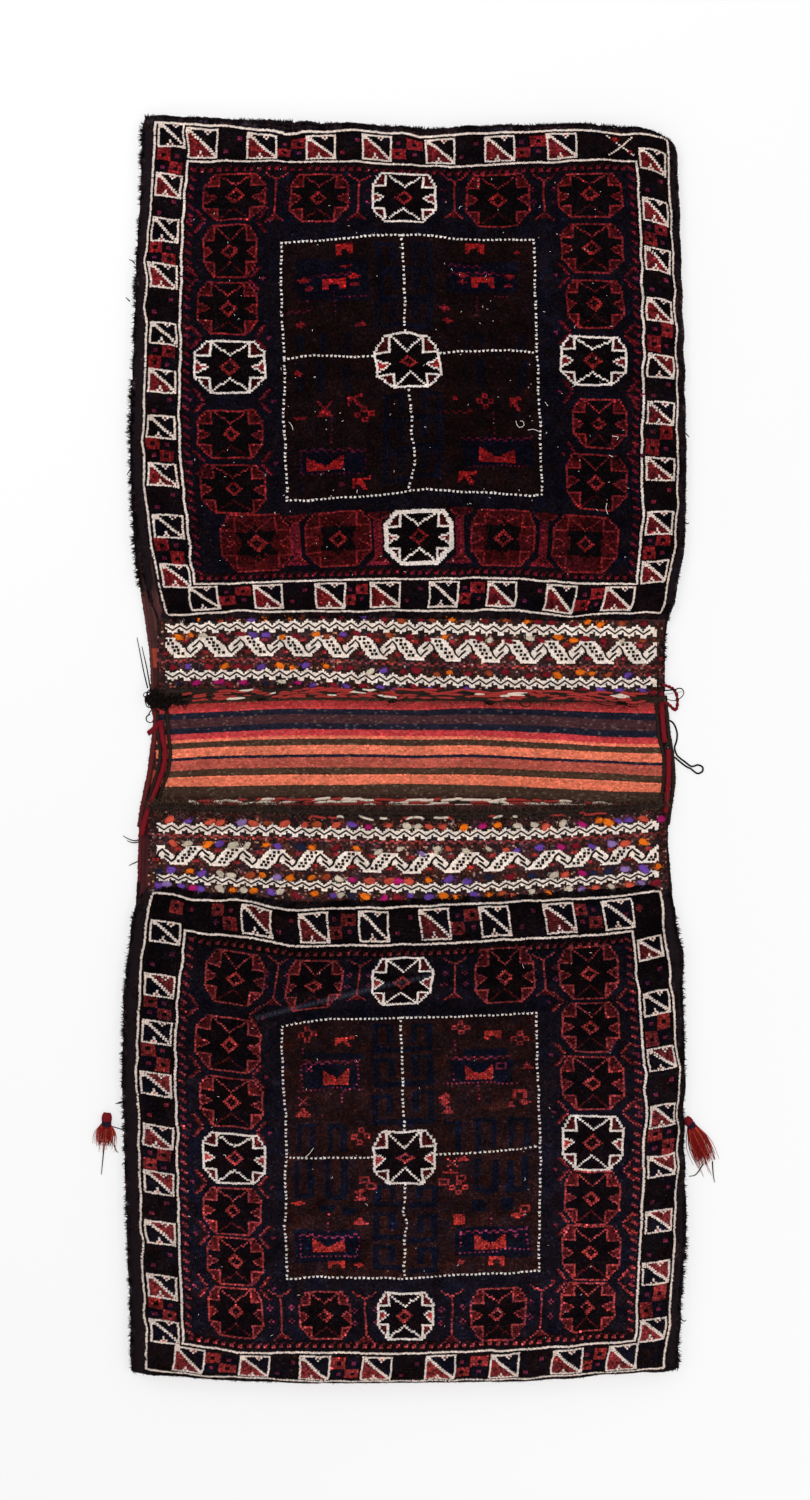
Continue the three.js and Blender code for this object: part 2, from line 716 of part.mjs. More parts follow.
add("loose_thread", looseThread(), GOAT_HAIR);
for (const [label, side, size] of [["left", -1, LEFT_TASSEL], ["right", 1, RIGHT_TASSEL]]) {
  const pieces = tassel(side, size);
  add(`${label}_tassel_thread`, pieces.thread, GOAT_HAIR);
  add(`${label}_tassel_head`, pieces.head, RED_WOOL);
  add(`${label}_tassel_skirt`, pieces.skirt, RED_WOOL);
}

export default group;
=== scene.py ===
"""Looks of a pile saddle bag: a folded strip of flat weave with two knotted-pile faces, lying on a floor."""

import math

import bmesh
import bpy
import numpy as np
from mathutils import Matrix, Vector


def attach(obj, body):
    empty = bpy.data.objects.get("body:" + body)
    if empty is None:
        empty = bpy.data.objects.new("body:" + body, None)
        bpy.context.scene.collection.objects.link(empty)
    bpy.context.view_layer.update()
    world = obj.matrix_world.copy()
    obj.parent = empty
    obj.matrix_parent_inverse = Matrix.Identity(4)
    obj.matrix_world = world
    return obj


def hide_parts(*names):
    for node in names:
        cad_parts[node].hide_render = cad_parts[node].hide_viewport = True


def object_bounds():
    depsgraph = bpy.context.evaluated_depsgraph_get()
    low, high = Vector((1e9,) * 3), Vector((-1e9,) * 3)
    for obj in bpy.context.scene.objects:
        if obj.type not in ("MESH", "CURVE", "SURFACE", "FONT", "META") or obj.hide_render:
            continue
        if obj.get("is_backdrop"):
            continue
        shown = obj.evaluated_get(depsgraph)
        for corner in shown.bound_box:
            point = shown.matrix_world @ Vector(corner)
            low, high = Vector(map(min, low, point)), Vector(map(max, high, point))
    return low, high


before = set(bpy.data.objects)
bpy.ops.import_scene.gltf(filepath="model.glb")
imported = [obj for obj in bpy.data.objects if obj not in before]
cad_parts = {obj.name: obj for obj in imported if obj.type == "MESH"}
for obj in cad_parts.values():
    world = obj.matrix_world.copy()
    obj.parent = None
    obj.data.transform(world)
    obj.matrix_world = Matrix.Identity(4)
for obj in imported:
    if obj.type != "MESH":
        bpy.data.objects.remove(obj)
cad_box = [list(corner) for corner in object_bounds()]

# Plan of the photograph: metres to a pixel, and the pixel over the middle of the bridge
PIXEL = 0.0011
MIDDLE = (404.3, 750.5)
VIEW_PIXELS = (810, 1500)
CAMERA_HEIGHT = 6.0
SENSOR = 36

# Outline of the bag in photograph pixels, each edge from left to right or from top to bottom
LEFT_EDGE = [
    (145, 115.5), (141, 131), (140, 212), (135, 274), (134, 349), (130, 395), (129, 430), (130, 483),
    (133, 544), (139, 587), (147, 641), (149, 661), (150, 692), (152, 712), (153, 733), (150, 760),
    (146, 785), (141, 810), (137.5, 833), (136.5, 876), (134.5, 910), (129, 947), (125, 985), (122.6, 1048),
    (122.6, 1090), (124.7, 1140), (126, 1204), (129, 1267), (131, 1330), (132, 1373),
]
RIGHT_EDGE = [
    (672, 141), (677, 175), (679, 233), (680.5, 294), (682.5, 349), (685, 422), (685.5, 503), (684, 534),
    (679, 575), (671, 605), (666, 640), (666, 660), (666, 692), (669, 721), (672, 751), (675, 774),
    (673, 802), (669, 822), (669, 845), (672, 876), (674.5, 910), (682, 954), (683, 1006), (684, 1069),
    (682, 1110), (684, 1183), (686, 1246), (680, 1309), (678, 1370),
]
TOP_EDGE = [
    (145, 115.5), (270, 120), (400, 126), (437, 128), (502, 125), (584, 123), (635, 127), (657, 132),
    (672, 141),
]
BOTTOM_EDGE = [
    (132, 1373), (174, 1376), (237, 1381), (321, 1383), (452, 1382), (526, 1381), (585, 1377), (606, 1374),
    (678, 1370),
]

# Heights of the layers, the reaches over which they fall to seams and mouths, and the round of the folds
CLOTH = 0.003
BACK_LEVEL = 0.0015
FRONT_LEVEL = 0.0145
SEAM_LEVEL = 0.0049
SHOULDER = 0.018
LIP = 0.060
PILE_LEVEL = 0.0232
PILE_SEAM_DROP = 0.011
PILE_SEAM_REACH = 0.024
PILE_LIP_DROP = 0.004
PILE_LIP_REACH = 0.012
PILE_WAVE = 0.0011
PILE_WAVE_REACH = 0.05
PILE_WAVE_SEED = 5
BRIDGE_WAVE_SEED = 8
FOLD_RADIUS = 0.009
FOLD_BULGE = 0.7
FACE_END = 0.66

# Grid of the ground cloth, its width laid flat and its first guess of a half width
CLOTH_ACROSS = 41
CLOTH_ROWS = 42
FOLD_ROWS = 6
BRIDGE_ROWS = 12
HALF_WIDTH = 0.3

# Knot chart of a face: knots between the outer guard lines, where the inner ones lie, rows of the fading
KNOTS_ACROSS = 250
KNOTS_DOWN = 267
INNER_ACROSS = 16
INNER_DOWN = 18
EDGE_KNOTS = 6
EDGE_ROWS = 4
FADE_START = 40
FADE_REACH = 110
FRAME_INSETS = {"rim": (-EDGE_KNOTS, -EDGE_ROWS), "outer": (0, 0), "inner": (INNER_ACROSS, INNER_DOWN)}

# Knots: width and length, height, how far each covers its neighbours, its lean, and the slab under them
KNOT = (2.1 * PIXEL, 1.8 * PIXEL)
KNOT_HEIGHT = 0.0018
KNOT_COVER = 1.3
KNOT_LEAN = 0.25
SLAB_STEP = 8
SLAB_SINK = 0.0014
SLAB_LEAST = 0.0005
SLAB_DYE = (30, 22, 26)

# Crease across the lower pouch: its line in photograph pixels, its height and reach, and the reach and colour
# of the painted highlight along its crest
CREASE = [(258, 1018), (300, 1007), (340, 997), (375, 988), (430, 976)]
CREASE_HEIGHT = 0.0014
CREASE_REACH = 0.006
CREASE_HIGHLIGHT_REACH = 0.0022
CREASE_HIGHLIGHT_PAINT = (84, 86, 104)

# Where the lines of each face lie in the photograph, each from left to right or from top to bottom
UPPER_LINES = {
    "rim": {
        "top": TOP_EDGE,
        "right": [
            (672, 141), (677, 180), (679, 233), (682.5, 349), (685, 460), (684, 534), (678, 577),
            (668, 618),
        ],
        "bottom": [(158, 622), (290, 617), (414, 617), (540, 619), (668, 618)],
        "left": [
            (145, 115.5), (140, 212), (134, 349), (132, 430), (133, 483), (138, 544), (147, 590),
            (158, 622),
        ],
    },
    "outer": {
        "top": [
            (156, 122), (226, 126), (290, 134), (355, 130), (426, 136), (492, 133), (584, 130), (666, 140),
        ],
        "right": [
            (666, 140), (668, 172), (671, 212), (674.5, 290), (677.5, 370), (677.5, 503), (674, 548),
            (661, 612),
        ],
        "bottom": [
            (167, 615), (243, 610), (330, 611), (420, 610), (514, 610), (573, 616), (604, 613), (661, 612),
        ],
        "left": [
            (156, 122), (151, 204), (146, 260), (146, 349), (143, 438), (145, 483), (151, 544), (167, 615),
        ],
    },
    "inner": {
        "top": [(187, 161), (273, 161), (355, 162), (451, 166.5), (522, 163.5), (594, 160), (636, 162)],
        "right": [(636, 162), (641, 233), (644, 345), (642, 442), (642, 524), (637, 584)],
        "bottom": [(194, 584), (273, 582), (355, 579), (502, 578), (580, 583), (637, 584)],
        "left": [(187, 161), (182, 233), (180, 349), (179, 432), (182, 483), (194, 584)],
    },
}
LOWER_LINES = {
    "rim": {
        "top": [(146, 888), (235, 894), (290, 902), (405, 901), (526, 895), (667, 886)],
        "right": [
            (667, 886), (674.5, 915), (682, 954), (684, 1069), (682, 1110), (685, 1230), (680, 1309),
            (678, 1370),
        ],
        "bottom": BOTTOM_EDGE,
        "left": [
            (146, 888), (135, 910), (126, 985), (122.6, 1070), (124.7, 1140), (129, 1267), (132, 1373),
        ],
    },
    "outer": {
        "top": [
            (153, 893), (191, 900), (235, 900), (290, 910), (405, 907), (526, 901), (600, 898), (659, 892),
        ],
        "right": [(659, 892), (671, 985), (679, 1069), (678, 1162), (674, 1246), (670, 1316), (664, 1368)],
        "bottom": [
            (147, 1370), (206, 1376), (321, 1381.5), (452, 1380.5), (526, 1379), (606, 1372.5), (664, 1368),
        ],
        "left": [
            (153, 893), (146, 928), (139.5, 991), (137, 1069), (139.5, 1152), (143, 1246), (147, 1370),
        ],
    },
    "inner": {
        "top": [(185, 930), (269, 941), (300, 946), (410, 945.5), (579, 936), (633, 930.5)],
        "right": [(633, 930.5), (640, 1006), (645, 1090), (644, 1141), (640, 1246), (635, 1341)],
        "bottom": [(183, 1344), (246, 1353), (410, 1353.6), (530, 1349), (635, 1341)],
        "left": [(185, 930), (177, 1006), (175, 1069), (177, 1141), (179, 1246), (183, 1344)],
    },
}

# Colours of the wools, as they show in the photograph
IVORY = (255, 234, 222)
PALE = {"guard": IVORY, "box_line": IVORY, "ivory": (255, 240, 231), "dotted": (255, 246, 238)}
UPPER_WOOLS = PALE | {
    "edge": (26, 18, 21), "strip": (18, 10, 13), "field": (15, 11, 20), "red": (132, 36, 40),
    "fill": (72, 14, 17), "bright": (142, 36, 38), "star": (12, 6, 8), "box_red": (118, 32, 36),
    "box_dark": (15, 10, 15), "check": (134, 32, 36), "dot": (104, 30, 56), "dash": (116, 26, 42),
    "panel": (22, 9, 10), "panel_navy": (10, 9, 22), "stitch": (80, 18, 38), "crown": (156, 28, 31),
    "floret": (122, 24, 32),
}
LOWER_WOOLS = PALE | {
    "edge": (30, 22, 24), "strip": (22, 14, 17), "field": (26, 21, 32), "red": (178, 70, 72),
    "fill": (98, 28, 32), "bright": (192, 70, 70), "star": (20, 11, 15), "box_red": (134, 48, 50),
    "box_dark": (20, 17, 27), "check": (148, 50, 50), "dot": (120, 40, 64), "dash": (172, 66, 70),
    "panel": (45, 24, 25), "panel_navy": (18, 20, 36), "stitch": (146, 52, 82), "crown": (196, 58, 54),
    "floret": (172, 58, 60),
}
PALE_FLUFF = {"guard": 1.15, "box_line": 1.0, "ivory": 1.24, "dotted": 1.2}
BAND_WOOLS = {
    "ivory": (255, 237, 224), "black": (24, 17, 15), "ground": (62, 38, 37), "line": (108, 47, 47),
    "dark": (43, 31, 29), "notch": (72, 37, 37), "notch_red": (142, 44, 46), "fleck": (160, 124, 112),
    "twill": (146, 60, 60),
}
WORN = ("red", "fill", "bright", "box_red", "check", "crown", "floret", "stitch", "dash")

# Figures round their own middle: the star in knots, the marks in shares of half their width and height
STAR = [
    (0, -9), (3, -5), (8, -6), (6, 0), (8, 6), (3, 5), (0, 9), (-3, 5), (-8, 6), (-6, 0), (-8, -6),
    (-3, -5),
]
MARK_SHAPES = {
    "crown": [(-1, -1), (0, 0.4), (1, -1), (1, 1), (-1, 1)],
    "arch": [(-1, -1), (1, -1), (1, 1), (0.5, 1), (0.4, 0), (-0.4, 0), (-0.5, 1), (-1, 1)],
    "wedge": [(-1, 1), (0, -1), (1, 1)],
    "bit": [(-1, 0), (0, -1), (1, 0), (0, 1)],
    "hook": [(-1, -0.7), (1, -1), (1, -0.5), (0.1, -0.3), (0.9, 1), (0.3, 1), (-0.4, 0), (-1, 0.8)],
    "block": [(-1, -1), (1, -1), (1, 1), (-1, 1)],
}
# Marks that are set on whole knots
COUNTED_MARKS = ("rings", "ring", "cross")
# Rows of octagons and dividers between these heights of the photograph stand on red ground
RED_GROUND = (500, 700)

# Octagons in photograph pixels: place, width and height; the last ivory one stands in the middle panel
UPPER_RED_OCTAGONS = [
    (234.6, 196.4, 63, 48), (318.3, 198, 59, 50), (497.3, 199.5, 65, 52), (590, 195.3, 66, 47),
    (229.9, 252, 57, 53), (228.4, 309, 62, 54), (230, 434, 68.5, 50), (232.8, 488.4, 67.5, 50.5),
    (257.5, 542.6, 72, 57), (338.8, 538.3, 67, 56), (502.6, 538.2, 67, 56), (584.2, 544, 67, 57),
    (592.6, 247.5, 63, 51), (594.5, 304, 60.5, 52), (600, 423, 55, 51), (596.6, 483, 61, 56),
]
UPPER_IVORY_OCTAGONS = [
    (403, 198, 65, 48), (230, 367.4, 71, 53.5), (418.7, 536, 67.7, 57), (593, 360, 67, 51.5),
    (408, 360, 65.4, 55.4),
]
LOWER_RED_OCTAGONS = [
    (234, 979, 61, 54), (313.9, 984, 57.7, 49), (504.4, 976, 60, 56), (589.8, 973.4, 61.5, 54),
    (228, 1045.4, 67.5, 54), (230.5, 1103, 65.5, 51), (231.4, 1212, 58, 47.5), (235, 1262, 61, 49),
    (236.5, 1313.8, 57.5, 50), (324.6, 1317, 55, 50), (498.5, 1314, 58, 52.5), (587.8, 1308, 54.5, 52.5),
    (590.6, 1027.8, 60, 50.5), (592.3, 1083.5, 62.5, 55.5), (592.5, 1197.3, 57, 54), (591.4, 1253, 59, 54),
]
LOWER_IVORY_OCTAGONS = [
    (402.6, 980.8, 62.7, 48), (234, 1159.2, 65.4, 52.7), (406, 1317, 58.8, 47.3), (592.8, 1143, 62.3, 55.8),
    (404.5, 1157.6, 64, 55),
]

# Dotted lines of the middle panels: their knots on the chart, and where they lie in the photograph
UPPER_PANEL = {
    "box": (64, 62, 184, 203), "cross": (121, 125),
    "top": [
        (281, 242.5), (301, 241.6), (329, 240.3), (357, 237.4), (385, 235.2), (413, 234.9), (441, 237.1),
        (469, 239.3), (497, 239.8), (534, 239.3),
    ],
    "right": [(534, 239.3), (535.2, 289), (536.3, 331), (539.3, 401), (540.6, 457), (542, 495)],
    "bottom": [
        (287, 501), (321, 499.2), (349, 496.7), (391, 493.4), (419, 489.9), (447, 490.8), (475, 491.2),
        (503, 493.8), (542, 495),
    ],
    "left": [(281, 242.5), (281, 289), (282.5, 331), (284.6, 373), (284, 415), (285.5, 457), (287, 501)],
    "upright": [
        (403, 235.5), (403.3, 261), (404.7, 301), (404.5, 331), (410.4, 395), (412, 425), (413.4, 465),
        (414.6, 490),
    ],
    "level": [
        (284, 358.6), (299, 357.3), (319, 355), (349, 356.3), (379, 355.4), (453, 352.6), (473, 351.2),
        (513, 351.7), (538.6, 352.2),
    ],
}
LOWER_PANEL = {
    "box": (68, 64, 186, 210), "cross": (123, 140),
    "top": [
        (283, 1026), (303, 1022.6), (331, 1019.5), (359, 1018.9), (387, 1018.4), (415, 1017.3), (443, 1017),
        (471, 1016), (499, 1014.9), (536.5, 1013.5),
    ],
    "right": [
        (536.5, 1013.5), (537.2, 1053), (539, 1095), (540.2, 1137), (540, 1193), (539.7, 1235),
        (539.5, 1271.3),
    ],
    "bottom": [
        (287, 1279), (321, 1277.4), (363, 1277.9), (391, 1278.4), (433, 1277.2), (461, 1274.8),
        (489, 1273.9), (517, 1272.9), (539.5, 1271.3),
    ],
    "left": [(283, 1026), (282.4, 1059), (285, 1101), (286, 1143), (285.3, 1185), (285, 1241), (287, 1279)],
    "upright": [
        (401.4, 1018), (401.5, 1053), (402.6, 1093), (403.8, 1123), (405.4, 1195), (405, 1235),
        (405.6, 1278),
    ],
    "level": [
        (286, 1157.6), (321, 1157.9), (361, 1158.3), (449, 1154.6), (479, 1152.4), (509, 1150.2),
        (540, 1148.6),
    ],
}

# Figures of the middle panels in photograph pixels; a mark ends with half its width and height in knots
UPPER_FIGURES = {
    "zones": [
        (297, 259, 368, 300), (447, 262, 517, 292), (301, 449, 366, 475), (462, 437, 534, 466),
        (297, 335, 303, 352), (320, 333, 326, 353), (345, 333, 351, 353), (466, 333, 470, 352),
        (479, 333, 483, 352), (519, 333, 524, 352), (297, 362, 302, 392), (318, 362, 324, 392),
        (344, 362, 350, 392), (477, 360, 483, 386), (520, 360, 526, 386), (298, 480, 303, 494),
    ],
    "keys": [
        (377, 243, 15, 1), (377, 272, 15, 1), (377, 301, 15, 1), (432, 243, 15, -1), (432, 272, 15, -1),
        (432, 301, 15, -1), (384, 396, 15, 1), (384, 425, 15, 1), (384, 455, 15, 1), (441, 392, 15, -1),
        (441, 421, 15, -1), (441, 450, 15, -1),
    ],
    "zigzags": [
        ((312, 351), (275, 273)), ((448, 480), (264.4, 265)), ((448, 505), (272.5, 273.5)),
        ((289, 310), (311, 311)), ((303, 366), (450, 449)), ((463, 532), (438, 437)),
        ((440, 472), (411, 410), "fill"),
    ],
    "dotted": [
        ((342, 369), (297, 295)), ((298, 309), (301.5, 301.5)), ((334.4, 334.4), (292, 318)),
        ((496, 511), (296, 296)), ((331, 331), (417, 446)), ((300, 367), (474, 473)),
        ((301, 301), (450, 474)), ((366, 366), (450, 473)), ((493.5, 493.5), (411, 436)),
        ((470, 532), (466, 466)), ((478, 478), (298, 318)),
    ],
    "marks": {
        ("arch", "crown"): [
            (344.4, 249.2, 4.2, 2.8), (333.7, 284.3, 5.4, 2.8), (475, 248.6, 4.4, 2.8),
            (483.5, 282.6, 5.6, 2.8),
        ],
        ("bit", "floret"): [
            (346, 266, 3.4, 1.2), (309.4, 289, 2.6, 1.8), (355, 284.5, 3.0, 1.4), (301, 325, 3.0, 1.8),
            (461.8, 275.3, 3.0, 1.6), (461.3, 282, 3.0, 1.4), (510, 276.2, 3.0, 1.8),
            (444.3, 307.8, 3.0, 1.8), (446.7, 320, 3.2, 1.8), (517.5, 252.2, 1.8, 1.4),
            (297.8, 373.2, 2.2, 2.2), (300.8, 418.2, 3.6, 1.4), (455.7, 397.4, 2.0, 1.2),
        ],
        ("bit", "crown"): [(305, 280, 3.4, 1.8), (355.4, 276.4, 3.0, 2.0)],
        ("wedge", "floret"): [(361, 323, 4.0, 1.8), (508.5, 284.2, 2.4, 1.4), (325, 412, 3.0, 2.6)],
        ("cross", "floret"): [(323.5, 409.4, 3, 4)],
        ("hook", "floret"): [(356, 400.4, 3.6, 3.2), (516, 403.6, 3.0, 4.0)],
        ("rings", "floret"): [(365, 415), (485, 401)],
        ("crown", "crown"): [(325.7, 463, 8.8, 4.2), (497.3, 455, 8.8, 4.2)],
        ("bit", "stitch"): [(342.3, 483.5, 2.0, 1.6)],
        ("hook", "crown"): [(361, 483, 4.0, 3.2), (466.7, 477.3, 4.6, 3.8)],
    },
}
LOWER_FIGURES = {
    "zones": [
        (303, 1053.5, 363, 1060), (302, 1065, 358, 1089), (297, 1125, 301, 1152),
        (310.6, 1125, 315.5, 1152), (297, 1124, 315, 1128), (328.4, 1125, 332.3, 1152),
        (341, 1125, 347, 1152), (328, 1124, 347, 1128), (465, 1048.7, 508.5, 1056),
        (450, 1061, 513, 1081.6), (454, 1121, 461, 1151), (443, 1121, 461, 1125), (475.5, 1120, 481, 1151),
        (491, 1120, 496, 1148), (475.5, 1119, 496, 1123), (508.5, 1119, 514, 1148), (524, 1118, 530, 1146),
        (508.5, 1117, 530, 1121), (294.6, 1161, 299, 1198), (308.4, 1161, 313.6, 1198),
        (294.6, 1194, 313.6, 1199), (324.8, 1161, 330.8, 1198), (341, 1161, 348, 1198),
        (324.8, 1194, 348, 1199), (295.5, 1230, 361, 1263), (474.5, 1159, 480, 1192),
        (491, 1159, 497.8, 1192), (474.5, 1188, 497.8, 1193), (506, 1159, 512.7, 1190),
        (522, 1157, 529.4, 1190), (506, 1187, 529.4, 1192), (455, 1227, 529.4, 1257),
        (318, 1205, 333, 1212), (343, 1207, 356, 1214), (470, 1200, 486, 1212), (500, 1198, 514, 1210),
    ],
    "keys": [
        (373, 1025, 15, 1), (373, 1060, 15, 1), (373, 1096, 16, 1), (432, 1024, 15, -1),
        (432, 1056, 16, -1), (432, 1091, 17, -1), (374, 1187, 11, 1), (374, 1214, 15, 1),
        (374, 1247, 13, 1), (437, 1187, 11, -1), (437, 1214, 15, -1), (437, 1247, 13, -1),
    ],
    "zigzags": [
        ((303.7, 360), (1063, 1060.5)), ((450.3, 508.5), (1058.4, 1056)), ((302.4, 355.8), (1236, 1235)),
        ((461.5, 527.6), (1233, 1228)),
    ],
    "dotted": [
        ((302.2, 302.2), (1066, 1090)), ((357.5, 357.5), (1065, 1086)),
        ((300, 342, 364.5), (1091.5, 1087.6, 1089.5)), ((342.7, 342.7), (1090, 1106)),
        ((304.2, 304.2), (1049.5, 1057)), ((442.6, 521), (1084, 1082)), ((477.5, 477.5), (1085.5, 1101)),
        ((454.5, 454.5), (1041, 1052)), ((454.5, 454.5), (1075, 1083)), ((328.2, 328.2), (1214, 1231)),
        ((299.8, 299.8), (1237, 1257)), ((358, 358), (1237, 1256)), ((300, 358), (1256.8, 1256)),
        ((490.3, 490.3), (1214, 1225)), ((461, 461), (1234, 1250)), ((527, 527), (1230, 1248)),
        ((459.6, 529.4), (1253, 1249)),
    ],
    "marks": {
        ("rings", "floret"): [(307.2, 1034.2), (362, 1137), (461, 1028.3), (518.6, 1038), (459.6, 1188.3)],
        ("hook", "crown"): [(345, 1041.4, 4.4, 2.8)],
        ("cross", "stitch"): [(308.6, 1069, 1, 1)],
        ("crown", "crown"): [
            (336, 1076.4, 6.0, 4.2), (479.4, 1071.5, 6.6, 4.0), (328.2, 1245, 7.6, 3.8),
            (490.8, 1241, 7.4, 4.2),
        ],
        ("cross", "floret"): [(304.2, 1102, 2, 2), (453, 1162.7, 2, 2)],
        ("wedge", "floret"): [
            (302.7, 1112.3, 4.4, 3.0), (445.5, 1095.2, 3.2, 2.0), (447.4, 1109.7, 2.8, 2.0),
            (527.4, 1065.2, 3.2, 2.0), (510, 1104.4, 2.6, 1.8), (360, 1197, 3.4, 2.2),
            (360.5, 1220.2, 3.6, 2.2), (450.3, 1171, 3.6, 1.4), (464.2, 1158.4, 3.2, 1.6),
        ],
        ("arch", "crown"): [(492, 1035.6, 3.8, 2.4), (336.8, 1264.6, 4.0, 2.0), (496.8, 1260.5, 3.6, 2.2)],
        ("ring", "stitch"): [(500.7, 1065.7)],
        ("bit", "floret"): [
            (444, 1102.5, 2.6, 2.0), (524.5, 1102, 3.0, 2.0), (360, 1191.4, 2.6, 2.0),
            (460.5, 1262.8, 2.6, 1.6),
        ],
        ("arch", "floret"): [(519, 1093.3, 3.6, 2.4)],
        ("bit", "crown"): [(298, 1203, 3.6, 1.6), (360, 1265, 2.8, 1.8), (517.3, 1215.3, 3.0, 2.0)],
        ("ring", "floret"): [
            (363.5, 1180), (371.3, 1185), (443.8, 1180.4), (461.5, 1177.6), (525.7, 1208.3),
        ],
        ("block", "crown"): [(458.7, 1219.5, 2.6, 2.8)],
        ("bit", "stitch"): [(516.4, 1235.3, 2.6, 1.0)],
    },
}

# Odd marks of the borders, given like those of the panels
UPPER_EXTRAS = {
    ("big cross", "box_line"): [(622, 146, 6, 6)],
    ("bit", "check"): [(615, 140, 2.0, 1.6), (630, 152, 2.0, 1.6)],
}
LOWER_EXTRAS = {
    ("block", "check"): [(176.5, 907, 3.2, 3.4), (217, 909, 3.2, 3.4), (230, 923, 3.6, 3.6)],
    ("block", "strip"): [(176.5, 907, 1.0, 1.2), (217, 909, 1.0, 1.2), (230, 923, 1.0, 1.2)],
    ("bit", "dot"): [
        (191, 909.5, 1.6, 1.6), (231, 910, 1.4, 1.4), (217, 923, 1.4, 1.4), (626, 914, 1.6, 1.6),
    ],
    ("bit", "check"): [(640, 908, 2.4, 2.4)],
}

# Stems between the octagons of a row, and forks between those of a column, in photograph pixels
UPPER_DIVIDERS = [
    (276, 196), (358, 197), (453, 197), (543, 197), (297, 540), (379, 538), (461, 536), (544, 540),
]
LOWER_DIVIDERS = [
    (275, 981), (358, 982), (455, 979), (545, 976), (282, 1315), (366, 1318), (452, 1317), (541, 1311),
]
UPPER_FORKS = [
    (223, 280), (228, 338), (232, 402), (233, 463), (596, 276), (597, 334), (600, 393), (602, 455),
    (232, 222),
]
LOWER_FORKS = [
    (224, 1012), (227, 1073), (230, 1131), (233, 1185), (235, 1237), (235, 1289), (590, 1002), (593, 1056),
    (596, 1114), (597, 1170), (595, 1224), (592, 1281),
]

# Boxes of the border strips: their places along the strip in knots, the gaps between them, and their kinds
UPPER_STRIPS = [
    ([23, 52.4, 80.8, 108.3, 138.6, 168, 198.4], "pmpmpm", True, 9, "rrrrrrr"),
    ([20.2, 51.9, 82.6, 109.8, 139, 167.7, 197.4, 226.1], "mpmpmpm", True, KNOTS_DOWN - 9, "drrrdrrr"),
    ([6.5, 33.2, 56.8, 82.5, 112.7, 139, 164.2, 189.9, 218.4, 244.7], "cpcpmpcpc", False, 8, "drdrdrdrdr"),
    (
        [15, 42.7, 70.2, 97.6, 129, 154.7, 186, 215.7, 243.1], "pmpmpmpm", False, KNOTS_ACROSS - 8,
        "rrrrurrrr",
    ),
]
LOWER_STRIPS = [
    ([51.5, 80.3, 108.7, 138.9, 168.3, 200.2, 227.5], "pmpmpc", True, 9, "urdrdrd"),
    ([19.1, 51, 80.5, 110, 141, 171.5, 201.5, 229.1], "cpcpmpm", True, KNOTS_DOWN - 9, "rrrrrrrr"),
    ([21, 51.4, 76.8, 106.1, 134.9, 161.4, 189, 218.9, 244.4], "pccpmppc", False, 8, "duduruurd"),
    ([30.5, 60.8, 92.1, 124.5, 152.5, 183.2, 212.3, 244.2], "pmpcppm", False, KNOTS_ACROSS - 8, "rduruuur"),
]

UPPER_FACE = {
    "lines": UPPER_LINES, "strips": UPPER_STRIPS, "red": UPPER_RED_OCTAGONS, "ivory": UPPER_IVORY_OCTAGONS,
    "dividers": UPPER_DIVIDERS, "forks": UPPER_FORKS, "panel": UPPER_PANEL, "figures": UPPER_FIGURES,
    "extras": UPPER_EXTRAS, "wools": UPPER_WOOLS, "fade": (1.08, 0.96), "seed": 11,
}
LOWER_FACE = {
    "lines": LOWER_LINES, "strips": LOWER_STRIPS, "red": LOWER_RED_OCTAGONS, "ivory": LOWER_IVORY_OCTAGONS,
    "dividers": LOWER_DIVIDERS, "forks": LOWER_FORKS, "panel": LOWER_PANEL, "figures": LOWER_FIGURES,
    "extras": LOWER_EXTRAS, "wools": LOWER_WOOLS, "fade": (0.55, 1.06), "seed": 12,
}

# Rows of the closure bands: chart row, and its height in photograph pixels at five places from left to right
UPPER_BAND_ROWS = [
    (0, 619.5, 616, 617, 619.5, 622), (5, 628, 626, 627.4, 629.5, 632), (17, 648.8, 647, 649.6, 653, 653.6),
    (33, 675, 673.2, 680, 683.3, 682.4), (43, 692, 692.5, 698, 700.5, 699.5),
]
LOWER_BAND_ROWS = [
    (0, 810, 813, 816, 815, 808.5), (10, 827.3, 829.8, 833.8, 833, 825.6),
    (27, 856, 861.4, 865.4, 862, 855.6), (42, 877.4, 883, 887.6, 882.4, 873.8),
    (52, 892, 899, 904, 899, 889.5),
]
BAND_SHARES = (0.02, 0.25, 0.5, 0.75, 0.98)
BAND_ACROSS = 248
BAND_CELL = (2.05, 1.8)
# Middles of the dotted bars across each band, in photograph pixels
UPPER_BARS = [
    134, 174.3, 215.3, 256.3, 294.3, 332.3, 369.3, 406.3, 444.4, 482.4, 520, 558, 596, 632.4, 670,
]
LOWER_BARS = [146.5, 186.6, 226.5, 268.5, 306.4, 343.3, 380.2, 420.1, 461, 502, 543.9, 582.8, 618.7, 656]
# Each band: its ends in photograph pixels, the rows of its figures, and the radius of its hook lines
UPPER_BAND = {
    "rows": UPPER_BAND_ROWS, "span": (158, 664), "bars": UPPER_BARS, "way": 1, "hook": 0.0010, "seed": 31,
    "zigzags": (5, 33), "scroll": 11, "twill": 24,
}
LOWER_BAND = {
    "rows": LOWER_BAND_ROWS, "span": (149, 666), "bars": LOWER_BARS, "way": -1, "hook": 0.0012, "seed": 32,
    "zigzags": (10, 42), "scroll": 21, "twill": 14,
}
SCROLL_ROWS = 12
SCROLL_HALF = (SCROLL_ROWS - 1) / 2
BAR_HALF = 4.3
BAR_SLOPE = 0.76
NOTCH_SHIFT = 5.4
ZIGZAG_PERIOD = 7
ZIGZAG_SWING = 2.6
ZIGZAG_LINE = 0.00095
LINE_LIFT = 0.0015
STITCH = 0.0009
STITCH_COVER = (1.25, 1.3)
STITCH_LIFT = 0.0002
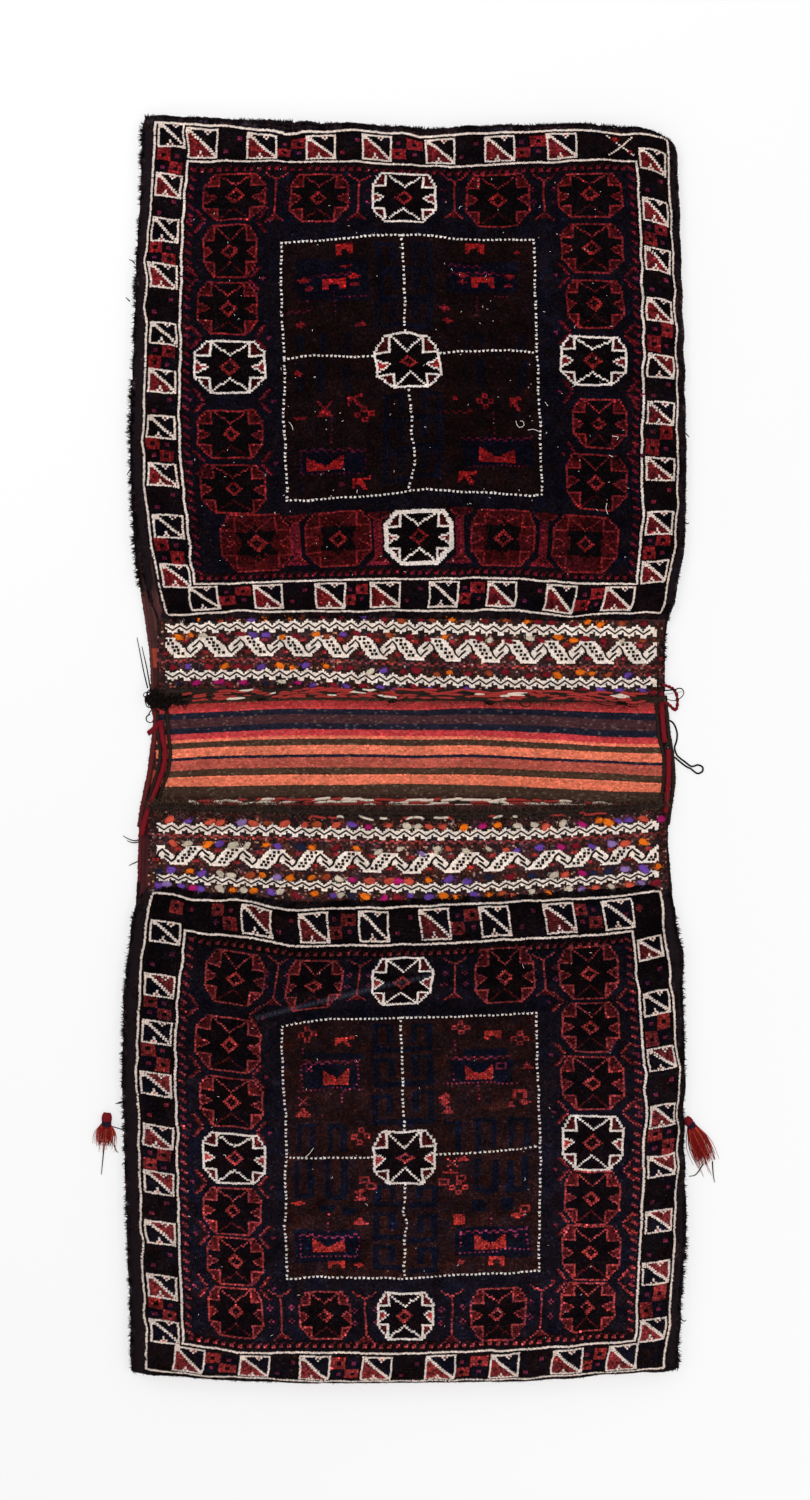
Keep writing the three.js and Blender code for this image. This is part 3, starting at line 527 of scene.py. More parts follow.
# A dark line of the hooks, from the notch beside a bar into the heart; its fellow is the same, turned round
HOOK_LINE = [(-5.2, -2.0), (-4.5, 0), (-3.9, 1.95), (-2.2, 3.8), (-0.8, 1.95), (1.2, 0.2)]

# Weft stripes of the bridge from the upper mouth down: height in photograph pixels and colour
BRIDGE_STRIPES = [
    (5, (78, 56, 44)), (8.5, (212, 70, 70)), (7, (36, 36, 52)), (8.5, (74, 45, 49)), (5, (34, 34, 50)),
    (6, (196, 62, 66)), (3, (240, 122, 94)), (7, (78, 56, 44)), (8.5, (236, 124, 94)), (2.5, (34, 32, 48)),
    (10, (186, 88, 74)), (8.5, (76, 54, 42)), (9.5, (238, 124, 94)), (11, (72, 53, 43)), (9, (66, 44, 38)),
]
# Rows of the bridge, and the heights in the photograph at which each crosses the five shares of the width
BRIDGE_LINES = [
    (3.3, 705, 700.5, 700, 700.5, 702), (14.7, 722, 716.5, 716.5, 717.8, 722.5),
    (24.7, 736.4, 732, 731.5, 735.5, 739.5), (34.7, 751.2, 748.3, 747.6, 751.2, 755.5),
    (44.7, 765.6, 763.2, 762.2, 766, 770.8), (54.7, 779, 777, 775.5, 779.6, 785),
    (70, 800, 799, 798, 801.5, 805),
]
BRIDGE_SPAN = (157, 664)
BRIDGE_EDGES = (695, 806)
BRIDGE_ACROSS = 190
BRIDGE_ROW = 1.5
BRIDGE_CELL = (2.68, BRIDGE_ROW)
BRIDGE_FLECK = (216, 186, 160)
BRIDGE_WAVE = 0.0004

# Weft stripes of the ground by share of a repeat, and those near the mouths by metres from the ends
WEFT_REPEAT = 0.22
WEFT_STRIPES = [
    (0.0, (70, 45, 50)), (0.16, (25, 28, 48)), (0.22, (150, 62, 48)), (0.27, (60, 48, 36)),
    (0.40, (112, 34, 38)), (0.52, (25, 28, 48)), (0.58, (186, 92, 66)), (0.63, (60, 48, 36)),
    (0.72, (84, 30, 36)), (0.92, (190, 80, 60)),
]
LOWER_MOUTH_STRIPES = [(0.0, (78, 36, 40)), (0.105, (36, 26, 28)), (0.13, (36, 26, 28), 0)]
UPPER_MOUTH_STRIPES = [
    (0.20, (62, 40, 37)), (0.115, (84, 50, 50)), (0.062, (168, 70, 52)), (0.035, (78, 38, 38)),
]

# Wool tufts: their dyes, the mixes, and each row of a band with its step and tuft size in pixels
TUFT_DYES = {
    "orange": (238, 118, 26), "purple": (108, 70, 162), "cream": (212, 196, 176), "coral": (206, 84, 64),
    "magenta": (178, 30, 108), "navy": (34, 36, 62), "crimson": (128, 28, 40), "rust": (160, 70, 40),
    "lilac": (150, 118, 178),
}
SMALL = ("orange", "purple", "cream", "crimson", "crimson", "rust", "orange", "crimson")
RICH = ("magenta", "purple", "rust", "cream", "crimson", "navy", "crimson", "purple")
BOLD = (
    "orange", "purple", "cream", "coral", "orange", "lilac", "cream", "coral", "orange", "navy", "rust",
    "purple", "orange", "crimson", "cream", "magenta",
)
UPPER_TUFTS = [
    (1, 16, (8, 4.5), SMALL), (10, 16, (10, 5), SMALL), (28.3, 16, (9.5, 5.5), SMALL),
    (38.3, 16, (11, 5), RICH),
]
LOWER_TUFTS = [
    (6, 15, (11, 6.6), BOLD), (19, 16, (10.5, 6.4), BOLD), (37.2, 15, (11, 6.6), BOLD),
    (48, 13, (10, 6.6), BOLD),
]
TUFT_LIFT = 0.0010
TUFT_FIBRES = 20

# Overcast yarn: radius over the wraps, step between them, thickness of the yarn, and its slant
BINDING_WRAPS = (0.0036, 0.0021, 0.0016, 0.5)
CORD_WRAPS = (0.0035, 0.0026, 0.0016, 0.5)
LEFT_SELVEDGE_WRAPS = (0.0038, 0.0026, 0.0018, 0.5)
RIGHT_SELVEDGE_WRAPS = (0.0032, 0.0026, 0.0018, 0.5)
FLANK_WRAPS = (0.0025, 0.0032, 0.0018, 0.7)
MOUTH_WRAPS = (0.0034, 0.0026, 0.0018, 0.6)

# Bindings of the pouch sides: pouch, side, and from where to where in photograph pixels
BINDINGS = [
    ("upper", "left", 128, 596), ("upper", "right", 150, 690), ("lower", "left", 884, 1366),
    ("lower", "right", 820, 1366),
]
BINDING_INSET = 0.0032
BINDING_LEVEL = 0.0052

# Edges of the bridge in photograph pixels, the red cords with heights over the floor in millimetres
BRIDGE_CORDS = {
    "left": [
        (160, 722, 7), (162, 738, 6.6), (164.5, 752, 6.6), (163, 766, 6.6), (158.5, 781, 7), (152, 799, 10),
        (145.5, 817, 14), (141.4, 834, 14),
    ],
    "right": [(661.6, 694, 8), (662.8, 712, 6.6), (664, 728, 6.6), (665.5, 741, 6.6)],
    "lower_right": [(669, 751, 6.6), (669.4, 765, 6.6), (669, 780, 7), (667.5, 797, 10), (665.5, 811, 13.4)],
}
CORD_STUB = [(159, 723, 8), (155, 727, 6.4), (151, 730.6, 4.4), (147.6, 733.2, 3)]
LEFT_SELVEDGE = [(153, 704), (155, 722), (152.5, 745), (148.5, 775), (142.5, 804), (139, 826)]
RIGHT_SELVEDGE = [
    (665.5, 697), (667.6, 716), (669.5, 735), (673.4, 760), (674, 784), (671, 806), (668.6, 824),
]
CORD_FLANKS = [
    [(166, 710), (168, 735), (169.5, 752), (168, 768), (163, 784), (156, 802), (148, 822)],
    [(156.5, 712), (157.5, 735), (159.6, 752), (157.6, 768), (153, 784), (147, 802), (142, 816)],
    [(656.5, 697), (658, 715), (660, 738), (664.5, 755), (665, 775), (662.5, 797), (659.5, 812)],
    [(666, 738), (668.5, 743), (666.5, 748), (670.5, 752)],
]
SELVEDGE_LEVEL = 0.0036
FLANK_LEVEL = 0.0052

# Cords that lie free of the bag: photograph pixels, and height above the floor in millimetres
LOOP_ROUTE = [
    (663, 684.6, 11), (668.5, 686, 8), (673.5, 688.5, 5), (677, 693, 3.4), (678.4, 701, 2.6),
    (677.6, 708, 2.6), (675.4, 709.6, 3), (671.5, 706, 4.6), (667.6, 703, 6.4), (663, 700.6, 8),
]
THREAD_ROUTE = [
    (668.5, 719.3, 4), (674.5, 723.4, 1.4), (678, 732.4, 1), (677.6, 740.7, 1), (675.6, 747.6, 1),
    (677.6, 754.5, 1), (681, 758.2, 1), (685.6, 761.6, 1), (691.4, 766, 1), (695, 766.2, 1), (699, 765, 1),
    (703.6, 767.2, 1), (703.4, 771.5, 1), (698.8, 773.6, 1), (694.2, 770.8, 1.6), (691.6, 768.6, 3.4),
    (688.6, 767.4, 3.2), (684.2, 764.4, 1.4), (679.6, 760.6, 1), (676, 757.6, 1), (673.6, 756.8, 2),
]

# Mouths: the row of each band where its lip lies, the lift of the braid, and the dyes of its hair
UPPER_LIP_ROW = 42.5
LOWER_LIP_ROW = -1.5
LIP_LIFT = 0.002
HAIR_DYES = (34, 27, 24), (108, 82, 68)

# Loose wefts of the mouths: line in photograph pixels, level, tracks, shares of the dyes, radius, seed
UPPER_FLOAT = [(180, 700), (250, 696), (330, 695), (410, 696), (500, 697), (575, 698), (650, 700)]
LOWER_FLOAT = [(182, 805), (250, 803), (330, 802), (410, 803), (500, 803), (575, 805), (640, 810)]
LIP_FLOAT = [(300, 817), (420, 818), (520, 816), (640, 812)]
FLOATS = [
    ("lower", LOWER_FLOAT, 0.0082, (-2.6, 0, 2.6), {"red": 0.44, "white": 0.44, "dark": 0.12}, 0.0017, 111),
    ("lower_lip", LIP_FLOAT, 0.0196, (0,), {"red": 0.3, "white": 0.2, "dark": 0.5}, 0.0014, 113),
    ("upper", UPPER_FLOAT, 0.0196, (-6, -4.2, -2.4, -0.6, 1.2), {"red": 0.58, "white": 0.1, "dark": 0.32},
     0.0015, 112),
]

# Hair left along the upper mouth in photograph pixels: boxes of curls, and tufts with a size in millimetres
CURLS = {
    "corner_hair_knot": ((148, 692, 168, 706), (0.005, 0.017), 150, 0.0008, 61),
    "corner_hair_curls": ((162, 692, 186, 704), (0.012, 0.019), 60, 0.0007, 62),
}
MOUTH_TUFTS = [(260, 697, 6), (392, 700, 5), (490, 702, 5), (624, 700, 10)]
MOUTH_TUFT_LEVEL = 0.016
MOUTH_TUFT_SHAPE = (1.2, 0.8, 0.5)

# Tassels in photograph pixels: knot, band and hem, widths of head and hem, share of long strands, seed
TASSELS = {
    "left": ((106.2, 1114), (105.6, 1124.5), (104.4, 1146), 9.6, 19, 0.08, 81),
    "right": ((686.5, 1119), (692, 1126), (707.5, 1163), 8.4, 24, 0.05, 82),
}
TASSEL_THREADS = {
    "left": [
        (127, 1134, 5), (120.7, 1130.7, 4.5), (114.3, 1128.6, 4.2), (108, 1127.4, 4.2), (105.4, 1131, 3.4),
        (104.8, 1142, 2),
    ],
    "right": [
        (681.5, 1117.4, 6), (685.5, 1118.6, 5), (690, 1123, 4.2), (695.5, 1131, 3.6), (702, 1147, 3),
        (706, 1160, 2),
    ],
}
TASSEL_LEVEL = 0.0042
TASSEL_STRANDS = 170
TASSEL_FLAT = 0.6
TASSEL_BAND = 0.0058

# Single hairs that stray from the edges: photograph pixels, with heights in millimetres
WISPS = [
    [(147, 688, 8), (143, 672, 3), (139, 652, 2), (136, 637, 2)],
    [(150, 690, 8), (146, 668, 4), (143, 655, 3), (141, 646, 3)],
    [(149, 714, 5), (145.5, 717, 2), (146, 721, 2), (150, 722.5, 3), (153, 720, 5)],
    [(154, 706, 6), (149, 712, 3), (147, 716, 2)],
    [(141, 839, 4), (134, 841, 2), (127, 839, 2), (122, 836, 2)],
    [(140, 842, 4), (132, 843, 2), (126, 841, 1.6)], [(139, 861, 4), (132, 864, 2), (128, 866, 2)],
    [(124, 1104, 4), (119, 1104.4, 2), (114.4, 1105, 1.6)],
    [(125, 1102, 4), (120, 1103, 2), (116, 1104.6, 1.6)],
    [(125.4, 1164, 4), (122, 1165, 2), (121, 1167, 1.4)],
    [(103, 1146, 2.4), (102, 1158, 1.2), (101, 1168, 1), (100.3, 1176, 0.8)],
    [(113, 1146, 2), (115, 1152, 1), (117, 1154, 0.8)],
    [(713.5, 1163, 2.6), (714, 1172, 1.2), (714.8, 1179, 1), (715.8, 1184, 0.8)],
    [(704, 1166, 2), (697, 1176, 1), (690, 1178, 0.8)],
    [
        (664, 690.4, 10), (670, 690, 9), (675.6, 689.4, 8), (681.4, 687.9, 5), (684.8, 691.7, 4),
        (682.8, 696.5, 6), (677.2, 700, 7), (671.7, 700.3, 7), (664, 697.6, 9),
    ],
    [(518, 700, 17), (523, 706, 12), (529, 706, 12), (531, 700, 16)],
    [(612, 696, 18), (620, 702, 14), (633, 707, 10), (640, 703, 9)],
    [(590, 699, 17), (600, 704, 14), (611, 706, 10)], [(134, 262, 8), (131, 259, 4), (128, 258, 3)],
    [(129, 300, 8), (125, 296, 4)], [(131, 430, 8), (127, 432, 4), (124, 431, 3)],
    [(130, 468, 8), (126, 474, 4)], [(686, 432, 8), (690, 436, 4)],
    [(684, 520, 8), (688, 523, 4), (690, 522, 3)], [(124, 1010, 8), (120, 1007, 4)],
    [(123, 1052, 8), (118, 1055, 4)], [(684, 1040, 8), (688, 1043, 4)],
    [(681, 1320, 8), (685, 1323, 4), (687, 1322, 3)], [(680, 1248, 8), (685, 1251, 5), (689, 1250, 4)],
]

# Lint caught in the pile: curls, and boxes of short fibres with their count and seed, in photograph pixels
LINT_CURLS = [
    [(516, 421), (517, 425), (520, 427.5), (524, 425.5), (523, 421.5), (520, 421)],
    [(528, 430), (534, 429.4), (540, 432)], [(313.6, 1148), (310, 1153), (304.7, 1158)],
    [(289, 422), (292, 426), (293, 430)], [(545, 402), (548, 406)], [(612, 436), (618, 437), (617, 440)],
    [(609, 455), (613, 457)], [(607, 503), (606, 509), (608, 514)],
]
LINT_BOXES = {"upper_lint": ((190, 165, 635, 580), 170, 91), "lower_lint": ((185, 950, 635, 1340), 60, 92)}
CURL_LIFT = 0.0009
LINT_LIFT = 0.0002

# Short hairs that stand out from the edges: edge, count, level, length, seed, and which side is outward
EDGE_FUZZ = {
    "upper_left_fuzz": (LEFT_EDGE[:10], 1000, 0.009, 0.0052, 101, 1),
    "upper_right_fuzz": (RIGHT_EDGE[:12], 1100, 0.009, 0.0036, 102, -1),
    "lower_left_fuzz": (LEFT_EDGE[20:], 1100, 0.009, 0.0052, 103, 1),
    "lower_right_fuzz": (RIGHT_EDGE[20:], 1100, 0.0095, 0.0052, 104, -1),
    "upper_fold_fuzz": (TOP_EDGE, 1300, 0.013, 0.0038, 105, -1),
    "lower_fold_fuzz": (BOTTOM_EDGE, 1300, 0.013, 0.0034, 106, 1),
}
FUZZ_SPREAD = 0.004
FUZZ_THICKNESS = 0.0016
FUZZ_ROOT = 0.001
FUZZ_DYES = (18, 13, 15), (44, 36, 38)

# Studio: lamps with place, size and power, strength of the sky and of the paper's glow
LAMPS = {"key": ((-1.2, 1.6, 2.6), 1.6, 62), "fill": ((1.6, -0.8, 2.6), 2.2, 30)}
SKY = 0.72
PAPER_GLOW = 1.05
PAPER_SHARE = 0.6
FLOOR_LEVEL = -0.0005
FLOOR_HALF = 6

# Fibres of the wool: how fine they are, and the depth of their relief
FIBRE_SCALE = 900.0
FIBRE_RELIEF = 0.0006


def plan(points):
    """Photograph pixels as metres on the floor plan."""
    return (np.asarray(points, float) - MIDDLE) * (PIXEL, -PIXEL)


def side_x(edge, y):
    """Where a side edge of the bag lies at heights y of the plan."""
    points = plan(edge)[::-1]
    return np.interp(y, points[:, 1], points[:, 0])


def end_y(edge, x):
    """Where the upper or lower fold of the bag lies at places x of the plan."""
    points = plan(edge)
    return np.interp(x, points[:, 0], points[:, 1])


def smooth(share):
    share = np.clip(share, 0, 1)
    return share * share * (3 - 2 * share)


def thin_plate(source, target):
    """A smooth map of the plane that takes each source point to its target."""
    source = np.asarray(source, float)
    count = len(source)

    def spread(points):
        distance = np.linalg.norm(points[:, None] - source[None], axis=-1)
        return distance**2 * np.log(distance + 1e-9)

    system = np.zeros((count + 3, count + 3))
    system[:count, :count] = spread(source)
    system[:count, count:] = np.c_[np.ones(count), source]
    system[count:, :count] = system[:count, count:].T
    weights = np.linalg.solve(system, np.vstack([np.asarray(target, float), np.zeros((3, 2))]))

    def carry(points):
        points = np.atleast_2d(np.asarray(points, float))
        return np.hstack([spread(points), np.ones((len(points), 1)), points]) @ weights

    return carry


def way_back(to_pixels, pixels, chart_points):
    """Map from photograph pixels to the chart that undoes a map from the chart to pixels."""
    guess = thin_plate(pixels, chart_points)

    def to_chart(places):
        places = np.asarray(places, float)
        aim = places.copy()
        for _ in range(5):
            aim = aim + places - to_pixels(guess(aim))
        return guess(aim)

    return to_chart


def along(points, start, end):
    """Chart places for measured points on a line of the weave, by their share of its length."""
    points = np.asarray(points, float)
    steps = np.r_[0, np.cumsum(np.linalg.norm(np.diff(points, axis=0), axis=1))]
    share = (steps / steps[-1])[:, None]
    return np.asarray(start) * (1 - share) + np.asarray(end) * share


def dense(points, step=36):
    """A polyline with its own corners and further points between them."""
    points = np.asarray(points, float)
    parts = []
    for start, end in zip(points, points[1:]):
        count = max(1, round(float(np.linalg.norm(end - start)) / step))
        share = np.arange(count)[:, None] / count
        parts.append(start * (1 - share) + end * share)
    return np.vstack([*parts, points[-1:]])


def part_way(path, pick):
    """Points at broken places along a path."""
    low = pick.astype(int)
    share = (pick - low)[:, None]
    return path[low] * (1 - share) + path[low + 1] * share


def spline(points, count):
    """A smooth curve through points."""
    points = np.asarray(points, float)
    padded = np.vstack([2 * points[0] - points[1], points, 2 * points[-1] - points[-2]])
    place = np.linspace(0, len(points) - 1 - 1e-9, count)
    low = place.astype(int)
    t = (place - low)[:, None]
    a, b, c, d = (padded[low + k] for k in range(4))
    return 0.5 * (2 * b + (c - a) * t + (2 * a - 5 * b + 4 * c - d) * t**2 + (3 * b - a - 3 * c + d) * t**3)


def face_points(lines, middle):
    """Chart places and photograph pixels of every measured point of a face."""
    chart, pixels = [], []

    def add(points, start, end, inside):
        points = dense(points)
        chart.append(along(points, start, end)[inside])
        pixels.append(points[inside])

    boxes = [
        (lines[name], (across, down, KNOTS_ACROSS - across, KNOTS_DOWN - down))
        for name, (across, down) in FRAME_INSETS.items()
    ]
    for sides, (left, top, right, bottom) in [*boxes, (middle, middle["box"])]:
        add(sides["top"], (left, top), (right, top), slice(None))
        add(sides["bottom"], (left, bottom), (right, bottom), slice(None))
        add(sides["left"], (left, top), (left, bottom), slice(1, -1))
        add(sides["right"], (right, top), (right, bottom), slice(1, -1))
    left, top, right, bottom = middle["box"]
    u, v = middle["cross"]
    add(middle["upright"], (u, top), (u, bottom), slice(1, -1))
    add(middle["level"], (left, v), (right, v), slice(1, -1))
    return np.vstack(chart), np.vstack(pixels)


class Chart:
    """A weaver's chart: one wool name for each knot, with room outside the outer guard line."""

    def __init__(self, across, down, room_across, room_down, ground):
        self.room = np.array([room_across, room_down])
        self.size = (across + 2 * room_across + 1, down + 2 * room_down + 1)
        self.names = [ground]
        self.cells = np.zeros(self.size, int)

    def wool(self, name):
        if name not in self.names:
            self.names.append(name)
        return self.names.index(name)

    def dots(self, points, name):
        places = np.round(np.asarray(points, float)).astype(int).reshape(-1, 2) + self.room
        inside = ((places >= 0) & (places < self.size)).all(axis=1)
        self.cells[tuple(places[inside].T)] = self.wool(name)

    def line(self, corners, name, dotted=False):
        for start, end in zip(corners, corners[1:]):
            count = max(int(round(max(abs(end[0] - start[0]), abs(end[1] - start[1])))), 1)
            share = np.arange(count + 1)[:, None] / count
            points = np.asarray(start) * (1 - share) + np.asarray(end) * share
            if dotted:
                is_steep = abs(end[1] - start[1]) > abs(end[0] - start[0])
                points = points[np.round(np.arange(0, count, 2.4 if is_steep else 2)).astype(int)]
            self.dots(points, name)

    def fill(self, corners, name):
        corners = np.asarray(corners, float)
        low, high = np.floor(corners.min(0)).astype(int), np.ceil(corners.max(0)).astype(int)
        grid = np.stack(np.meshgrid(np.arange(low[0], high[0] + 1), np.arange(low[1], high[1] + 1)), -1)
        points = grid.reshape(-1, 2) + 1e-3
        inside = np.zeros(len(points), bool)
        for a, b in zip(corners, np.roll(corners, -1, axis=0)):
            crosses = (a[1] > points[:, 1]) != (b[1] > points[:, 1])
            reach = a[0] + (points[:, 1] - a[1]) * (b[0] - a[0]) / (b[1] - a[1] or 1e-9)
            inside ^= crosses & (points[:, 0] < reach)
        self.dots(points[inside], name)

    def block(self, left, top, right, bottom, name):
        self.fill([(left, top), (right + 1, top), (right + 1, bottom + 1), (left, bottom + 1)], name)

    def frame(self, left, top, right, bottom, name):
        self.line([(left, top), (right, top), (right, bottom), (left, bottom), (left, top)], name)


def border_box(chart, u, v, half, below, above):
    """An ivory box with a thick diagonal, a coloured half and a notch at its top and bottom."""
    left, top, right, bottom = u - half, v - half, u + half, v + half
    chart.fill([(left, top), (right, bottom), (left, bottom)], below)
    chart.fill([(left, top), (right, top), (right, bottom)], above)
    chart.frame(left, top, right, bottom, "box_line")
    chart.line([(left, top), (right, bottom)], "box_line")
    chart.line([(left + 1, top), (right, bottom - 1)], "box_line")
    chart.dots([(left + 1, top + 2), (right - 1, bottom - 2)], "box_line")
    chart.dots([(u + 1, top + 1), (u + 2, top + 2), (u + 3, top + 1)], "box_line")
    chart.dots([(u - 2, bottom - 1), (u - 1, bottom - 2), (u - 1, bottom - 3), (u, bottom - 1)], "box_line")
    chart.dots([(u + 2, top + 1), (u - 1, bottom - 1)], "bright")


def chequer(chart, u, v, half_width, half_height, mirrored):
    """Two red squares and two dark ones, each with a small heart."""
    for column, row in ((-1, -1), (1, -1), (-1, 1), (1, 1)):
        left, right = (u - half_width, u - 1) if column < 0 else (u, u + half_width - 1)
        top, bottom = (v - half_height, v - 1) if row < 0 else (v, v + half_height - 1)
        is_red = (column * row > 0) != mirrored
        chart.block(left, top, right, bottom, "check" if is_red else "box_dark")
        heart = ((left + right) // 2, (top + bottom) // 2)
        chart.block(*heart, heart[0] + 1, heart[1] + 1, "strip" if is_red else "dot")


def two_dots(chart, u, v):
    chart.block(u + 3, v - 4, u + 4, v - 3, "dot")
    chart.block(u - 4, v + 3, u - 3, v + 4, "dot")


def border_strip(chart, places, gaps, is_row, fixed, kinds):
    """Boxes along one strip of the border, with chequers (c, m) and plain gaps (p) between them."""
    half = 7 if is_row else 6
    halves = {"r": ("box_red", "box_dark"), "d": ("box_dark", "box_dark"), "u": ("box_dark", "box_red")}
    for k, kind in enumerate(gaps):
        middle = round((places[k] + places[k + 1]) / 2)
        room = int((places[k + 1] - places[k]) / 2 - half)
        u, v = (middle, fixed) if is_row else (fixed, middle)
        if kind == "p":
            two_dots(chart, u, v)
        else:
            reach = (room, 6) if is_row else (6, room)
            chequer(chart, u, v, *reach, kind == "m")
    for place, kind in zip(places, kinds):
        u, v = (round(place), fixed) if is_row else (fixed, round(place))
        border_box(chart, u, v, half, *halves[kind])


def octagon(chart, middle, half, is_ivory, is_red_ground=False, is_bold=False):
    """A small octagon: bracketed corners, a pointed wedge in each side and a diamond in its dark star."""
    line = "ivory" if is_ivory else "red"
    u, v = np.round(middle)
    wide, high = half[0] / 14, half[1] / 13

    def at(points):
        return [(u + round(a * wide), v + round(b * high)) for a, b in points]

    outline = at([(-10, -13), (10, -13), (14, -7), (14, 6), (8, 13), (-8, 13), (-14, 6), (-14, -7)])
    chart.fill(outline, "fill" if is_red_ground else "star")
    chart.fill(at(STAR), "star")
    for a in (-1, 1):
        wedge = at([(14 * a, -3), (9 * a, 0), (14 * a, 4)])
        chart.fill(wedge, "bright" if is_ivory else "fill")
        chart.line(wedge, line)
        for b in (-1, 1):
            chart.fill(at([(8 * a, 13 * b), (8 * a, 6 * b), (14 * a, 6 * b), (9 * a, 13 * b)]), "fill")
            chart.line(at([(8 * a, 12 * b), (8 * a, 6 * b), (13 * a, 6 * b)]), line)
    for b in (-1, 1):
        chart.line(at([(-7, 12 * b), (0, 6 * b), (7, 12 * b)]), line if is_ivory or b < 0 else "fill")
    for inset in ((0, 0), (1, 0), (0, 1), (1, 1)) if is_bold else ((0, 0),):
        ring = [(a + np.sign(u - a) * inset[0], b + np.sign(v - b) * inset[1]) for a, b in outline]
        chart.line(ring + ring[:1], line)
    chart.fill(at([(0.4, -4), (4.6, 0.2), (0.4, 4.4), (-3.8, 0.2)]), "bright")
    chart.fill(at([(0.4, -2), (2.6, 0.2), (0.4, 2.4), (-1.8, 0.2)]), "star")
    chart.dots([(u, v)], "fill")


def octagons_of(chart, to_chart, places, is_ivory):
    """Octagons at photograph pixels, each with its own width and height."""
    for x, y, width, height in places:
        corners = to_chart([(x - width / 2, y), (x + width / 2, y), (x, y - height / 2), (x, y + height / 2)])
        half = (corners[1, 0] - corners[0, 0] - 1.3) / 2, (corners[3, 1] - corners[2, 1] - 1.3) / 2
        middle = (corners[0, 0] + corners[1, 0]) / 2, (corners[2, 1] + corners[3, 1]) / 2
        is_low = RED_GROUND[0] < y < RED_GROUND[1]
        octagon(chart, middle, half, is_ivory, is_low and not is_ivory, is_low and is_ivory)


def divider(chart, u, v, is_broad=False):
    """A red stem with forked ends between two octagons of a row."""
    if is_broad:
        chart.block(u - 2, v - 11, u + 1, v + 11, "dash")
        chart.fill([(u, v + 8), (u + 7, v + 15), (u - 7, v + 15)], "dash")
        chart.fill([(u, v - 8), (u + 6, v - 14), (u - 6, v - 14)], "fill")
    chart.line([(u, v - 10), (u, v + 10)], "red")
    for a in (-1, 1):
        chart.line([(u, v - 9), (u + 5 * a, v - 13)], "red")
        chart.line([(u, v + 9), (u + 4 * a, v + 13)], "red")
    chart.fill([(u, v + 9), (u + 3, v + 13), (u - 3, v + 13)], "fill")
    for a in (u - 5, u + 5):
        for b in (v - 5, v + 2):
            chart.dots([(a, b), (a + 1, b + 1), (a - 1, b + 1), (a, b + 2)], "stitch")


def fork(chart, u, v, way):
    """Two red strokes that open between two octagons of a column."""
    for b in (-1, 1):
        chart.line([(u + 2 * way, v + b), (u + 6 * way, v + 6 * b)], "fill")
        chart.line([(u + way, v + b), (u + 5 * way, v + 6 * b)], "dash")
    chart.dots([(u + 7 * way, v), (u + 8 * way, v), (u + 7 * way, v + 1)], "dot")


def mark(chart, kind, wool, u, v, half_width=0, half_height=0):
    """A small figure of the panel or the border."""
    if kind == "rings":
        for a, b in ((u - 3, v), (u + 3, v), (u, v - 3), (u, v + 3)):
            chart.frame(a - 1, b - 1, a + 1, b + 1, wool)
    elif kind == "ring":
        chart.frame(u - 2, v - 1, u + 2, v + 2, wool)
    elif kind in ("cross", "big cross"):
        for rise in (-half_height, half_height):
            chart.line([(u - half_width, v - rise), (u + half_width, v + rise)], wool)
    else:
        chart.fill([(u + a * half_width, v + b * half_height) for a, b in MARK_SHAPES[kind]], wool)


def draw_marks(chart, to_chart, marks):
    """Marks by figure and wool, each at its photograph pixels."""
    for (kind, wool), places in marks.items():
        for x, y, *half in places:
            u, v = to_chart([(x, y)])[0]
            if kind in COUNTED_MARKS:
                u, v = round(u), round(v)
            mark(chart, kind, wool, u, v, *half)


def key(chart, u, v, height, way):
    """A squared hook beside the upright line of the cross."""
    def bar(left, top, right, bottom):
        ends = sorted((u + way * left, u + way * right))
        chart.block(ends[0], v + top, ends[1], v + bottom, "panel_navy")

    bar(0, 0, 2, height)
    bar(7, 0, 9, round(0.6 * height))
    bar(0, 0, 9, 1)
    bar(0, height - 2, 13, height)


def stitch_row(chart, to_chart, x, y, wool="stitch"):
    """A row of stitches that steps up and down between two photograph pixels."""
    for u, v in np.round(to_chart(np.c_[np.linspace(*x, 40), np.linspace(*y, 40)])):
        chart.dots([(u, v + u // 2 % 2)], wool)


def panel(chart, to_chart, middle, figures):
    """The middle panel: a dotted frame and cross on brown ground, and the figures of its four quarters."""
    left, top, right, bottom = middle["box"]
    u_cross, v_cross = middle["cross"]
    chart.block(left, top, right, bottom, "panel")
    for x0, y0, x1, y1 in figures["zones"]:
        chart.fill(to_chart([(x0, y0), (x1, y0), (x1, y1), (x0, y1)]), "panel_navy")
    for x, y, height, way in figures["keys"]:
        u, v = np.round(to_chart([(x, y)])[0]).astype(int)
        key(chart, u, v, height, way)
    for row in figures["zigzags"]:
        stitch_row(chart, to_chart, *row)
    for x, y in figures["dotted"]:
        chart.line(to_chart(np.c_[x, y]), "stitch", dotted=True)
    draw_marks(chart, to_chart, figures["marks"])
    box = [(left, top), (right, top), (right, bottom), (left, bottom), (left, top)]
    upright, level = [(u_cross, top), (u_cross, bottom)], [(left, v_cross), (right, v_cross)]
    for corners in (box, upright, level):
        chart.line(corners, "dotted", dotted=True)


def guard_dashes(chart):
    """Slanting red dashes that line the field inside the inner guard line."""
    left, right = INNER_ACROSS + 3, KNOTS_ACROSS - INNER_ACROSS - 3
    top, bottom = INNER_DOWN + 4, KNOTS_DOWN - INNER_DOWN - 4
    for u in range(left, right, 4):
        for v in (top, bottom):
            chart.dots([(u, v + 1), (u + 1, v), (u + 1, v + 1)], "dash")
            chart.dots([(u, v), (u + 2, v - 1)], "fill")
    for v in range(top, bottom, 5):
        for u in (left, right):
            chart.dots([(u - 1, v), (u, v), (u, v + 1), (u + 1, v + 1)], "dash")
            chart.dots([(u + 1, v + 2), (u - 1, v - 1)], "fill")


